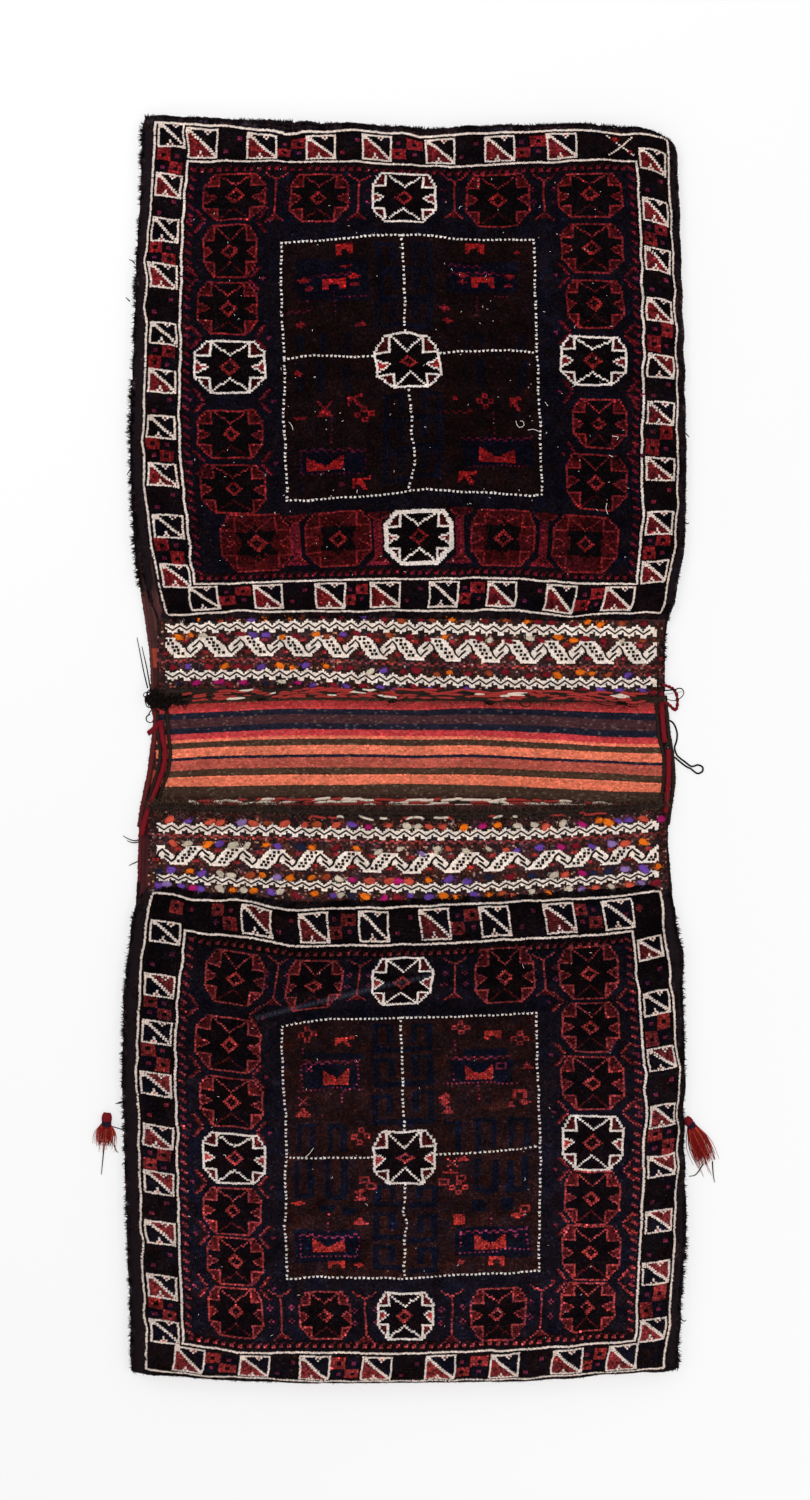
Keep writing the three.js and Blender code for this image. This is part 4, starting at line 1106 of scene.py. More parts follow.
def face_chart(design, to_chart):
    """The whole chart of a face."""
    chart = Chart(KNOTS_ACROSS, KNOTS_DOWN, EDGE_KNOTS, EDGE_ROWS, "edge")
    chart.block(0, 0, KNOTS_ACROSS, KNOTS_DOWN, "strip")
    left, top, right, bottom = INNER_ACROSS, INNER_DOWN, KNOTS_ACROSS - INNER_ACROSS, KNOTS_DOWN - INNER_DOWN
    chart.block(left, top, right, bottom, "field")
    chart.block(left, top, right, top + 6, "strip")
    chart.block(left, bottom - 6, right, bottom, "strip")
    for strip in design["strips"]:
        border_strip(chart, *strip)
    draw_marks(chart, to_chart, design["extras"])
    guard_dashes(chart)
    chart.frame(0, 0, KNOTS_ACROSS, KNOTS_DOWN, "guard")
    chart.frame(left, top, right, bottom, "guard")
    for place, (u, v) in zip(design["dividers"], to_chart(design["dividers"])):
        divider(chart, int(round(u)), int(round(v)), RED_GROUND[0] < place[1] < RED_GROUND[1])
    for u, v in to_chart(design["forks"]):
        for way in (-1, 1):
            fork(chart, int(round(u)) + 12 * way, int(round(v)), way)
    octagons_of(chart, to_chart, design["red"], False)
    octagons_of(chart, to_chart, design["ivory"][:4], True)
    panel(chart, to_chart, design["panel"], design["figures"])
    octagons_of(chart, to_chart, design["ivory"][4:], True)
    return chart


def linear(colour):
    colour = np.asarray(colour, float) / 255
    return np.where(colour <= 0.04045, colour / 12.92, ((colour + 0.055) / 1.055) ** 2.4)


def ripple(x, y, seed):
    """Slow random waves over the plan, between about minus one and one."""
    rng = np.random.default_rng(seed)
    total = np.zeros(np.shape(x))
    for _ in range(7):
        angle, phase = rng.uniform(0, 2 * math.pi, 2)
        size = rng.uniform(0.09, 0.32)
        total = total + np.sin((x * math.cos(angle) + y * math.sin(angle)) * 2 * math.pi / size + phase)
    return total / 3


def cloud(shape, grain, rng):
    """Soft patches of a given grain, with a spread of about one."""
    coarse = rng.normal(0, 1, (shape[0] // grain + 3, shape[1] // grain + 3))
    rows, columns = np.arange(shape[0]) / grain, np.arange(shape[1]) / grain
    r, c = rows.astype(int), columns.astype(int)
    a, b = smooth(rows - r)[:, None], smooth(columns - c)[None, :]
    near = coarse[np.ix_(r, c)] * (1 - b) + coarse[np.ix_(r, c + 1)] * b
    far = coarse[np.ix_(r + 1, c)] * (1 - b) + coarse[np.ix_(r + 1, c + 1)] * b
    return (near * (1 - a) + far * a) * 1.5


def wool_colours(chart, wools, seed, fade=(1.0, 1.0)):
    """Colour of every knot: its wool, with dye and wear that vary from row to row and from knot to knot, and
    painted glints on a few dark knots.
    """
    rng = np.random.default_rng(seed)
    size, down = chart.size, chart.size[1]

    def among(names):
        return np.isin(chart.cells, [k for k, name in enumerate(chart.names) if name in names])

    colours = np.array([linear(wools[name]) for name in chart.names])[chart.cells]
    rows = np.convolve(rng.normal(0, 1, down + 8), np.ones(9) / 3, "valid")
    shade = 0.10 * rows[None, :] + 0.34 * rng.normal(0, 1, size) + 0.16 * cloud(size, 5, rng)
    warmth = 0.11 * cloud(size, 4, rng) + 0.08 * rng.normal(0, 1, size)
    is_pale, is_red = among(PALE), among(WORN)
    streaks = rng.normal(0, 1, (1, down)) + rng.normal(0, 1, (size[0], 1)) + 1.4 * cloud(size, 3, rng)
    shade = np.where(among(["edge"]), shade + 0.3 * streaks, shade)
    shade = np.where(is_pale, 0.3 * shade, shade)
    warmth = np.where(is_pale, 0.1 * warmth, np.where(is_red, 0.5 * warmth, warmth))
    # Painted highlights: a few dark knots are lightened as if light caught their tips
    shade = np.where((rng.random(size) < 0.012) & ~is_pale, shade + 1.0, shade)
    colours = colours * np.exp(np.stack([shade + warmth, shade, shade - warmth], -1))
    is_worn = (rng.random(size) < 0.16) & is_red
    colours = np.where(is_worn[..., None], colours * 0.42, colours)
    share = smooth((np.arange(down) - FADE_START) / FADE_REACH)
    fading = (fade[0] * (1 - share) + fade[1] * share)[None, :, None]
    return np.where(is_pale[..., None], colours, colours * fading)


def with_alpha(colours):
    """Colours as one row each, with full cover."""
    flat = colours.reshape(-1, 3)
    return np.c_[flat, np.ones(len(flat))]


def link(name, mesh):
    piece = bpy.data.objects.new(name, mesh)
    bpy.context.scene.collection.objects.link(piece)
    return piece


def loose_points(name, places, attributes):
    """A mesh of bare points that carries values for a node tree to grow on."""
    mesh = bpy.data.meshes.new(name)
    mesh.vertices.add(len(places))
    mesh.vertices.foreach_set("co", np.ascontiguousarray(places, np.float32).ravel())
    for key, values in attributes.items():
        values = np.asarray(values, np.float32)
        kind, field = ("FLOAT", "value") if values.ndim == 1 else ("FLOAT_VECTOR", "vector")
        if values.ndim == 2 and values.shape[1] == 4:
            kind, field = "FLOAT_COLOR", "color"
        mesh.attributes.new(key, kind, "POINT").data.foreach_set(field, values.ravel())
    return link(name, mesh)


def path_piece(name, points):
    """A bare polyline for a node tree to follow."""
    mesh = bpy.data.meshes.new(name)
    mesh.from_pydata(np.asarray(points, float).tolist(), [(k, k + 1) for k in range(len(points) - 1)], [])
    return link(name, mesh)


def settle(piece):
    """Keeps what a piece's modifiers show as its plain mesh."""
    shown = piece.evaluated_get(bpy.context.evaluated_depsgraph_get())
    mesh = bpy.data.meshes.new_from_object(shown)
    piece.modifiers.clear()
    piece.data = mesh
    return piece


class Nodes:
    """The nodes of a tree, added one by one and fed with nodes, sockets, named inputs or plain values."""

    def __init__(self, tree):
        self.tree = tree

    def sockets(self, way, **kinds):
        for name, kind in kinds.items():
            self.tree.interface.new_socket(name, in_out=way, socket_type=f"NodeSocket{kind}")

    def add(self, kind, settings=None, **inputs):
        node = self.tree.nodes.new(kind)
        for key, value in (settings or {}).items():
            setattr(node, key, value)
        self.feed(node, **inputs)
        return node

    def feed(self, node, **inputs):
        for key, value in inputs.items():
            socket = node.inputs[int(key[1:]) if key[0] == "_" else key.replace("_", " ")]
            if isinstance(value, str) and socket.type != "STRING":
                value = self.given.outputs[value]
            elif isinstance(value, bpy.types.Node):
                value = value.outputs[0]
            if isinstance(value, bpy.types.NodeSocket):
                self.tree.links.new(value, socket)
            else:
                socket.default_value = value

    def maths(self, operation, *values):
        inputs = {f"_{k}": value for k, value in enumerate(values)}
        return self.add("ShaderNodeMath", {"operation": operation}, **inputs)

    def scaled(self, vector, factor):
        return self.add("ShaderNodeVectorMath", {"operation": "SCALE"}, _0=vector, Scale=factor)


class Tree(Nodes):
    """A geometry node tree with named sizes and a material as its inputs."""

    def __init__(self, name, *sizes):
        super().__init__(bpy.data.node_groups.new(name, "GeometryNodeTree"))
        self.sockets("INPUT", Geometry="Geometry", **dict.fromkeys(sizes, "Float"), Material="Material")
        self.sockets("OUTPUT", Geometry="Geometry")
        self.given = self.add("NodeGroupInput")

    def vector(self, x, y, z):
        return self.add("ShaderNodeCombineXYZ", X=x, Y=y, Z=z)

    def random(self, low, high, seed):
        kind = {"data_type": "FLOAT"}
        return self.add("FunctionNodeRandomValue", kind, _2=low, _3=high, _8=seed).outputs[1]

    def varied(self, size, low, high, seed):
        return self.maths("MULTIPLY", size, self.random(low, high, seed))

    def attribute(self, name, kind):
        return self.add("GeometryNodeInputNamedAttribute", {"data_type": kind}, Name=name)

    def turned(self, rotation, x, y, z):
        turn = self.add("FunctionNodeEulerToRotation", Euler=self.vector(x, y, z))
        return self.add("FunctionNodeRotateRotation", {"rotation_space": "LOCAL"}, Rotation=rotation,
                        Rotate_By=turn)

    def on_points(self, points, instance, rotation, size):
        return self.add("GeometryNodeInstanceOnPoints", Points=points, Instance=instance, Rotation=rotation,
                        Scale=size)

    def finish(self, geometry):
        real = self.add("GeometryNodeRealizeInstances", Geometry=geometry)
        dressed = self.add("GeometryNodeSetMaterial", Geometry=real, Material="Material")
        self.feed(self.add("NodeGroupOutput"), Geometry=dressed)
        return self.tree


def grow(piece, tree, material, **values):
    """Runs a node tree on a piece and keeps the result as its plain mesh."""
    modifier = piece.modifiers.new("grow", "NODES")
    modifier.node_group = tree
    values["Material"] = material
    for socket in tree.interface.items_tree:
        if socket.in_out == "INPUT" and socket.name in values:
            modifier[socket.identifier] = values[socket.name]
    return settle(piece)


def knot_tree():
    """A four-sided tuft on every point, leaning with the pile."""
    tree = Tree("knots", "Width", "Length", "Height", "Lean")
    cone = tree.add("GeometryNodeMeshCone", {"fill_type": "NONE"}, Vertices=4, Radius_Top=0.0,
                    Radius_Bottom=math.sqrt(0.5), Depth=1.0)
    square = tree.add("GeometryNodeTransform", Geometry=cone, Rotation=(0, 0, math.pi / 4))
    # Height share up each tuft, read by the painted shade towards the roots
    height = tree.add("ShaderNodeSeparateXYZ", Vector=tree.add("GeometryNodeInputPosition"))
    tipped = tree.add("GeometryNodeStoreNamedAttribute", {"data_type": "FLOAT", "domain": "POINT"},
                      Geometry=square, Name="tip", Value=height.outputs["Z"])
    soft = tree.add("GeometryNodeSetShadeSmooth", Geometry=tipped)
    fluff = tree.attribute("fluff", "FLOAT")
    tilt = tree.maths("ADD", "Lean", tree.random(-0.2, 0.2, 1))
    turn = tree.vector(tilt, tree.random(-0.2, 0.2, 2), tree.random(-0.35, 0.35, 3))
    width = tree.varied(tree.maths("MULTIPLY", "Width", fluff), 0.9, 1.15, 4)
    length = tree.varied(tree.maths("MULTIPLY", "Length", fluff), 0.9, 1.15, 5)
    size = tree.vector(width, length, tree.varied("Height", 0.75, 1.25, 6))
    return tree.finish(tree.on_points("Geometry", soft, turn, size))


def overcast_tree():
    """Slanting wraps of yarn round a core that follows a path."""
    tree = Tree("overcast", "Radius", "Pitch", "Yarn", "Slant")
    curve = tree.add("GeometryNodeMeshToCurve", Mesh="Geometry")
    points = tree.add("GeometryNodeCurveToPoints", {"mode": "LENGTH"}, Curve=curve, Length="Pitch")
    wrap = tree.add("GeometryNodeMeshUVSphere", Segments=6, Rings=3, Radius=1.0)
    soft = tree.add("GeometryNodeSetShadeSmooth", Geometry=wrap)
    lean = tree.maths("ADD", "Slant", tree.random(-0.15, 0.15, 1))
    turned = tree.turned(points.outputs["Rotation"], lean, tree.random(-0.2, 0.2, 2), 0.0)
    wide = tree.varied("Radius", 0.88, 1.12, 3)
    wraps = tree.on_points(points.outputs["Points"], soft, turned, tree.vector(wide, wide, "Yarn"))
    inside = tree.maths("MULTIPLY", "Radius", 0.75)
    ring = tree.add("GeometryNodeCurvePrimitiveCircle", Resolution=6, Radius=inside)
    core = tree.add("GeometryNodeCurveToMesh", Curve=curve, Profile_Curve=ring, Fill_Caps=True)
    both = tree.add("GeometryNodeJoinGeometry", Geometry=wraps)
    tree.feed(both, Geometry=core)
    return tree.finish(both)


def hair_tree():
    """A thin three-sided hair on every point, aimed by the point and let stray."""
    tree = Tree("hairs", "Length", "Thickness", "Stray")
    cone = tree.add("GeometryNodeMeshCone", {"fill_type": "NONE"}, Vertices=3, Radius_Top=0.0,
                    Radius_Bottom=0.5, Depth=1.0)
    base = tree.add("FunctionNodeEulerToRotation", Euler=tree.attribute("aim", "FLOAT_VECTOR"))
    stray = [tree.varied("Stray", -1.0, 1.0, seed) for seed in (1, 2)]
    turned = tree.turned(base, *stray, tree.random(0.0, 6.3, 3))
    size = tree.vector("Thickness", "Thickness", tree.varied("Length", 0.5, 1.4, 4))
    return tree.finish(tree.on_points("Geometry", cone, turned, size))


def lump_tree():
    """A soft lump of wool on every point."""
    tree = Tree("lumps", "Height", "Ragged")
    lump = tree.add("GeometryNodeMeshUVSphere", Segments=8, Rings=5, Radius=1.0)
    soft = tree.add("GeometryNodeSetShadeSmooth", Geometry=lump)
    wide = tree.add("ShaderNodeSeparateXYZ", Vector=tree.attribute("size", "FLOAT_VECTOR"))
    turn = tree.vector(tree.random(-0.3, 0.3, 1), tree.random(-0.3, 0.3, 2), tree.random(-0.6, 0.6, 3))
    tall = tree.maths("MULTIPLY", "Height", wide.outputs["Z"])
    size = tree.vector(wide.outputs["X"], wide.outputs["Y"], tall)
    lumps = tree.on_points("Geometry", soft, turn, size)
    real = tree.add("GeometryNodeRealizeInstances", Geometry=lumps)
    ragged = tree.add("ShaderNodeTexNoise", Scale=420.0, Detail=1.0)
    centred = tree.add("ShaderNodeVectorMath", {"operation": "SUBTRACT"}, _0=ragged.outputs["Color"],
                       _1=(0.5, 0.5, 0.5))
    shift = tree.scaled(centred, "Ragged")
    return tree.finish(tree.add("GeometryNodeSetPosition", Geometry=real, Offset=shift))


def wool_group():
    """Fibres of spun wool: a colour streaked by its fibres, and their height for a bump."""
    nodes = Nodes(bpy.data.node_groups.new("wool fibres", "ShaderNodeTree"))
    nodes.sockets("INPUT", Colour="Color", Scale="Float", Streak="Float")
    nodes.sockets("OUTPUT", Colour="Color", Height="Float")
    nodes.given = nodes.add("NodeGroupInput")
    place = nodes.add("ShaderNodeTexCoord")
    fibre = nodes.add("ShaderNodeTexNoise", Vector=place.outputs["Object"], Scale="Scale", Detail=3.0)
    low, high = nodes.maths("SUBTRACT", 1.0, "Streak"), nodes.maths("ADD", 1.0, "Streak")
    shade = nodes.add("ShaderNodeMapRange", Value=fibre.outputs["Fac"], From_Min=0.3, From_Max=0.7,
                      To_Min=low, To_Max=high)
    tint = nodes.scaled("Colour", shade)
    nodes.feed(nodes.add("NodeGroupOutput"), Colour=tint, Height=fibre.outputs["Fac"])
    return nodes.tree


class Finish(Nodes):
    """A material: its nodes and its Principled surface."""

    def __init__(self, name):
        self.material = bpy.data.materials.new(name)
        self.material.use_nodes = True
        super().__init__(self.material.node_tree)
        self.surface = self.tree.nodes["Principled BSDF"]

    def attribute(self, name):
        return self.add("ShaderNodeAttribute", {"attribute_name": name})

    def spin(self, colour, streak, bump):
        """Spins a colour into the fibres of wool."""
        fibres = self.add("ShaderNodeGroup", {"node_tree": WOOL_FIBRES}, Colour=colour, Scale=FIBRE_SCALE,
                          Streak=streak)
        relief = self.add("ShaderNodeBump", Strength=bump, Distance=FIBRE_RELIEF,
                          Height=fibres.outputs["Height"])
        self.feed(self.surface, Base_Color=fibres.outputs["Colour"], Normal=relief.outputs["Normal"],
                  Roughness=0.92, Specular_IOR_Level=0.03)
        return self.material


def knot_wool(name, root_shade):
    """Wool of knots and stitches: each has its own colour, with painted shade that darkens it towards its
    root.
    """
    finish = Finish(name)
    tip = finish.attribute("tip").outputs["Fac"]
    painted_root_shade = finish.add("ShaderNodeMapRange", Value=tip, To_Min=root_shade, To_Max=1.0)
    return finish.spin(finish.scaled(finish.attribute("wool"), painted_root_shade), streak=0.25, bump=0.4)


def plain_wool(name, colour):
    """Spun wool or hair of one dye."""
    finish = Finish(name)
    dye = finish.add("ShaderNodeRGB")
    dye.outputs[0].default_value = (*linear(colour), 1)
    return finish.spin(dye, streak=0.35, bump=0.6)


def tinted_wool(name):
    """Wool whose dye is given by the points it grew on."""
    finish = Finish(name)
    return finish.spin(finish.attribute("wool"), streak=0.35, bump=0.6)


def fill_ramp(ramp, stripes):
    """Hard-edged stripes of a colour ramp; the last number of a colour tells how much it covers."""
    ramp.color_ramp.interpolation = "CONSTANT"
    elements = ramp.color_ramp.elements
    while len(elements) < len(stripes):
        elements.new(0.5)
    for element, (position, colour, *cover) in zip(elements, stripes):
        element.position = position
        element.color = (*linear(colour), *(cover or [1]))


def cloth_material(length):
    """Weft-faced flat weave: stripes across the strip, and ribs along it drawn as lines of painted shade."""
    finish = Finish("striped flat weave")
    place = finish.add("ShaderNodeUVMap", {"uv_map": "strip"}).outputs["UV"]
    run = finish.add("ShaderNodeSeparateXYZ", Vector=place).outputs["Y"]
    wander = finish.add("ShaderNodeTexNoise", Scale=4.0, Detail=2.0, Vector=place)
    bent = finish.maths("MULTIPLY_ADD", wander.outputs["Fac"], 0.02, run)
    part = finish.maths("FRACT", finish.maths("MULTIPLY", bent, 1 / WEFT_REPEAT))
    ground = finish.add("ShaderNodeValToRGB", Fac=part)
    fill_ramp(ground, WEFT_STRIPES)
    mouths = finish.add("ShaderNodeValToRGB", Fac=finish.maths("DIVIDE", run, length))
    lower = [(reach / length, *colour) for reach, *colour in LOWER_MOUTH_STRIPES]
    upper = [(1 - reach / length, *colour) for reach, *colour in UPPER_MOUTH_STRIPES]
    fill_ramp(mouths, lower + upper)
    dyed = finish.add("ShaderNodeMix", {"data_type": "RGBA"}, Factor=mouths.outputs["Alpha"],
                      A=ground.outputs["Color"], B=mouths.outputs["Color"])
    # Painted shade: darker and lighter lines along the strip stand in for the light and shade on the weave's
    # ribs
    rib = finish.add("ShaderNodeTexWave", {"bands_direction": "X"}, Scale=48.0, Distortion=0.6, Vector=place)
    mottle = finish.add("ShaderNodeTexNoise", Scale=70.0, Detail=4.0, Vector=place)
    uneven = finish.add("ShaderNodeMapRange", Value=mottle.outputs["Fac"], From_Min=0.3, From_Max=0.7,
                        To_Min=0.72, To_Max=1.12)
    painted_rib_shade = finish.add("ShaderNodeMapRange", Value=rib.outputs["Fac"], To_Min=0.7, To_Max=1.05)
    shaded = finish.scaled(dyed.outputs["Result"], finish.maths("MULTIPLY", uneven, painted_rib_shade))
    return finish.spin(shaded, streak=0.3, bump=0.5)


def pile_height(u, v, x, y, fold_is_top):
    """Top of the pile: it drops to the seams, rolls over the fold and ends low at the closure band."""
    width, length = KNOT
    side = np.minimum(u + EDGE_KNOTS, KNOTS_ACROSS + EDGE_KNOTS - u) * width
    above = (v + EDGE_ROWS) * length
    below = (KNOTS_DOWN + EDGE_ROWS - v) * length
    fold, band = (above, below) if fold_is_top else (below, above)
    level = PILE_LEVEL - PILE_SEAM_DROP * smooth(1 - side / PILE_SEAM_REACH)
    past = np.clip(1 - fold / FOLD_RADIUS, 0, 1)
    level = level - FOLD_RADIUS * (1 - np.sqrt(1 - past * past))
    level = level - PILE_LIP_DROP * smooth(1 - band / PILE_LIP_REACH)
    calm = smooth(np.minimum(np.minimum(side, fold), band) / PILE_WAVE_REACH)
    return level + PILE_WAVE * calm * ripple(x, y, PILE_WAVE_SEED)


def crease_distance(place):
    """How far each place lies from the crease across the lower pouch."""
    line = spline(np.c_[plan(CREASE), np.zeros(len(CREASE))], 40)[:, :2]
    return np.linalg.norm(place[..., None, :] - line, axis=-1).min(-1)


def face(name, design):
    """The knots of one face, in two pieces, on a slab of wool that stands on the cloth."""
    chart_points, pixels = face_points(design["lines"], design["panel"])
    to_pixels = thin_plate(chart_points, pixels)
    chart = face_chart(design, way_back(to_pixels, pixels, chart_points))
    across, down = chart.size
    u, v = np.meshgrid(np.arange(across) - EDGE_KNOTS, np.arange(down) - EDGE_ROWS, indexing="ij")
    rng = np.random.default_rng(design["seed"])
    jitter = rng.normal(0, 0.11, (2, across, down)) + [0.2 * cloud((across, down), 8, rng) for _ in (0, 1)]
    spots = np.stack([(u + jitter[0]).ravel(), (v + jitter[1]).ravel()], -1)
    place = plan(to_pixels(spots)).reshape(across, down, 2)
    height = pile_height(u, v, place[..., 0], place[..., 1], name == "upper")
    colours = wool_colours(chart, design["wools"], design["seed"], design["fade"])
    fluff = np.array([PALE_FLUFF.get(wool, 1.0) for wool in chart.names])[chart.cells]
    if name == "lower":
        near = crease_distance(place)
        height = height + CREASE_HEIGHT * np.exp(-((near / CREASE_REACH) ** 2))
        # Painted highlight: the knots along the crest of the crease are lightened where light would catch the
        # fold
        colours = colours + linear(CREASE_HIGHLIGHT_PAINT) * 0.5 * np.exp(-((near / CREASE_HIGHLIGHT_REACH) ** 2))[..., None]
    points = np.concatenate([place, height[..., None] - KNOT_HEIGHT], -1)
    pieces = []
    for part, rows in (("1", slice(0, down // 2)), ("2", slice(down // 2, down))):
        source = loose_points(f"{name}_knots_{part}", points[:, rows].reshape(-1, 3), {
            "wool": with_alpha(colours[:, rows]), "fluff": fluff[:, rows].ravel(),
        })
        pieces.append(grow(source, KNOT_TREE, PILE_WOOL, Width=KNOT_COVER * KNOT[0],
                           Length=KNOT_COVER * KNOT[1], Height=KNOT_HEIGHT, Lean=KNOT_LEAN))
    pieces.append(pile_slab(f"{name}_pile_body", place, height))
    return pieces


def pile_slab(name, place, height):
    """The body of the pile under its knots, down to the cloth."""
    rows, columns = [np.unique(np.r_[np.arange(0, count, SLAB_STEP), count - 1]) for count in place.shape[:2]]
    spots = place[np.ix_(rows, columns)]
    top = height[np.ix_(rows, columns)] - SLAB_SINK
    under = cloth_front(spots[..., 0], spots[..., 1]) + CLOTH / 2
    upper = np.concatenate([spots, np.maximum(top, under + SLAB_LEAST)[..., None]], -1)
    lower = np.concatenate([spots, under[..., None]], -1)
    piece = closed_slab(name, upper, lower)
    piece.data.materials.append(plain_wool(f"{name} wool", SLAB_DYE))
    return piece


def closed_slab(name, upper, lower):
    """A closed body between two grids of points, with its faces turned to point out of it."""
    across, down = upper.shape[:2]
    count = across * down
    index = np.arange(count).reshape(across, down)
    quads = np.stack([index[:-1, :-1], index[1:, :-1], index[1:, 1:], index[:-1, 1:]], -1).reshape(-1, 4)
    ring = np.r_[index[:, 0], index[-1, 1:], index[-2::-1, -1], index[0, -2:0:-1]]
    walls = np.stack([ring, np.roll(ring, -1), np.roll(ring, -1) + count, ring + count], -1)
    faces = np.vstack([quads, quads[:, ::-1] + count, walls[:, ::-1]])
    points = np.vstack([upper.reshape(-1, 3), lower.reshape(-1, 3)])
    mesh = bpy.data.meshes.new(name)
    mesh.from_pydata(points.tolist(), [], faces.tolist())
    work = bmesh.new()
    work.from_mesh(mesh)
    bmesh.ops.recalc_face_normals(work, faces=work.faces)
    work.to_mesh(mesh)
    work.free()
    mesh.polygons.foreach_set("use_smooth", [True] * len(mesh.polygons))
    return link(name, mesh)


def seam_share(x, y):
    """One over the open pouch, falling to nothing at its sewn sides."""
    left, right = side_x(LEFT_EDGE, y), side_x(RIGHT_EDGE, y)
    return smooth(np.minimum(x - left, right - x) / SHOULDER)


def cloth_front(x, y):
    """Middle of the front cloth of a pouch."""
    return SEAM_LEVEL + (FRONT_LEVEL - SEAM_LEVEL) * seam_share(x, y)


def front_top(x, y):
    return cloth_front(x, y) + CLOTH / 2


def back_level(x, y):
    """Middle of the back cloth, which lies flat."""
    return np.full_like(x, BACK_LEVEL)


def bridge_top(x, y):
    """Top of the bridge, which waves a little."""
    return np.full_like(x, BACK_LEVEL + CLOTH / 2) + BRIDGE_WAVE * (1 + ripple(x, y, BRIDGE_WAVE_SEED))


def ground_cloth():
    """The folded strip, from the lower lip round both folds and over the bridge to the upper lip."""
    share = np.linspace(0, 1, CLOTH_ACROSS)
    rows = []

    def row(y_of_x, z_of):
        x = np.linspace(-HALF_WIDTH, HALF_WIDTH, CLOTH_ACROSS)
        for _ in range(3):
            y = y_of_x(x)
            left, right = side_x(LEFT_EDGE, y) + CLOTH, side_x(RIGHT_EDGE, y) - CLOTH
            x = left + (right - left) * share
        rows.append(np.stack([x, y, z_of(x, y)], -1))

    def pouch(edge, way, upwards):
        lip = way * LIP
        steps = np.linspace(0, 1, CLOTH_ROWS)

        def fold(x):
            return end_y(edge, x) - way * FOLD_RADIUS

        def level(s):
            return lambda x: lip + (fold(x) - lip) * s

        def bend(turn):
            def z(x, y):
                front = cloth_front(x, np.clip(y, -FACE_END, FACE_END))
                return (front + BACK_LEVEL) / 2 + (front - BACK_LEVEL) / 2 * math.cos(turn)

            return lambda x: fold(x) + way * FOLD_BULGE * FOLD_RADIUS * math.sin(turn), z

        front = [(level(s), cloth_front) for s in steps]
        round_the_fold = [bend(turn) for turn in np.linspace(0, math.pi, FOLD_ROWS + 2)[1:-1]]
        back = [(level(s), back_level) for s in steps[::-1]]
        sheets = front + round_the_fold + back
        for y_of_x, z_of in sheets if upwards else sheets[::-1]:
            row(y_of_x, z_of)

    pouch(BOTTOM_EDGE, -1, True)
    for y in np.linspace(-LIP, LIP, BRIDGE_ROWS + 2)[1:-1]:
        row(lambda x, y=y: np.full_like(x, y), back_level)
    pouch(TOP_EDGE, 1, False)
    return np.stack(rows)


def strip_cloth():
    """The ground cloth with its stripes and wall, and its length along the strip."""
    points = ground_cloth()
    rows, across = points.shape[:2]
    index = np.arange(rows * across).reshape(rows, across)
    faces = np.stack([index[:-1, :-1], index[:-1, 1:], index[1:, 1:], index[1:, :-1]], -1).reshape(-1, 4)
    mesh = bpy.data.meshes.new("striped_cloth")
    mesh.from_pydata(points.reshape(-1, 3).tolist(), [], faces.tolist())
    run = np.r_[0, np.cumsum(np.linalg.norm(np.diff(points[:, across // 2], axis=0), axis=1))]
    side = np.linspace(0, 2 * HALF_WIDTH, across)
    uv = np.stack(np.broadcast_arrays(side[None, :], run[:, None]), -1).reshape(-1, 2)
    corners = np.zeros(len(mesh.loops), np.int32)
    mesh.loops.foreach_get("vertex_index", corners)
    mesh.uv_layers.new(name="strip").data.foreach_set("uv", uv[corners].astype(np.float32).ravel())
    mesh.polygons.foreach_set("use_smooth", [True] * len(mesh.polygons))
    piece = link("striped_cloth", mesh)
    piece.data.materials.append(cloth_material(run[-1]))
    wall = piece.modifiers.new("wall", "SOLIDIFY")
    wall.thickness = CLOTH
    wall.offset = 0
    return settle(piece), run[-1]


def camera():
    """A view from straight above that frames what the photograph does."""
    view = bpy.data.cameras.new("view")
    view.sensor_fit = "VERTICAL"
    view.sensor_height = SENSOR
    view.lens = SENSOR * (CAMERA_HEIGHT - PILE_LEVEL) / (VIEW_PIXELS[1] * PIXEL)
    view.clip_end = 50
    holder = link("view", view)
    holder.location = (*plan([VIEW_PIXELS[0] / 2, VIEW_PIXELS[1] / 2]), CAMERA_HEIGHT)
    bpy.context.scene.camera = holder


def studio():
    """A pale floor that shows white, two large soft lamps and an even sky."""
    bpy.context.scene.view_settings.view_transform = "Standard"
    world = bpy.data.worlds.new("sky")
    world.use_nodes = True
    sky = world.node_tree.nodes["Background"].inputs
    sky["Color"].default_value = (1, 1, 1, 1)
    sky["Strength"].default_value = SKY
    bpy.context.scene.world = world
    for name, (place, size, power) in LAMPS.items():
        lamp = bpy.data.lights.new(name, "AREA")
        lamp.size = size
        lamp.energy = power
        holder = link(name, lamp)
        holder.location = place
        x, y, z = -np.array(place)
        holder.rotation_euler = (math.atan2(math.hypot(x, y), -z), 0, math.atan2(x, -y))
    mesh = bpy.data.meshes.new("floor")
    corners = [(x * FLOOR_HALF, y * FLOOR_HALF, FLOOR_LEVEL) for x, y in ((-1, -1), (1, -1), (1, 1), (-1, 1))]
    mesh.from_pydata(corners, [], [(0, 1, 2, 3)])
    floor = link("floor", mesh)
    paper = Finish("white paper")
    paper.feed(paper.surface, Base_Color=(0.9, 0.9, 0.9, 1), Roughness=0.9)
    glow = paper.add("ShaderNodeEmission", Strength=PAPER_GLOW)
    share = paper.maths("MULTIPLY", paper.add("ShaderNodeLightPath").outputs["Is Camera Ray"], PAPER_SHARE)
    mix = paper.add("ShaderNodeMixShader", Fac=share, _1=paper.surface, _2=glow)
    paper.feed(paper.tree.nodes["Material Output"], Surface=mix)
    floor.data.materials.append(paper.material)
    floor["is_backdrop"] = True


def zigzag_offset(u):
    """Height of the zigzag over its own row, in rows."""
    return ZIGZAG_SWING * (abs(u % ZIGZAG_PERIOD - ZIGZAG_PERIOD / 2) / ZIGZAG_PERIOD * 2 - 0.5)


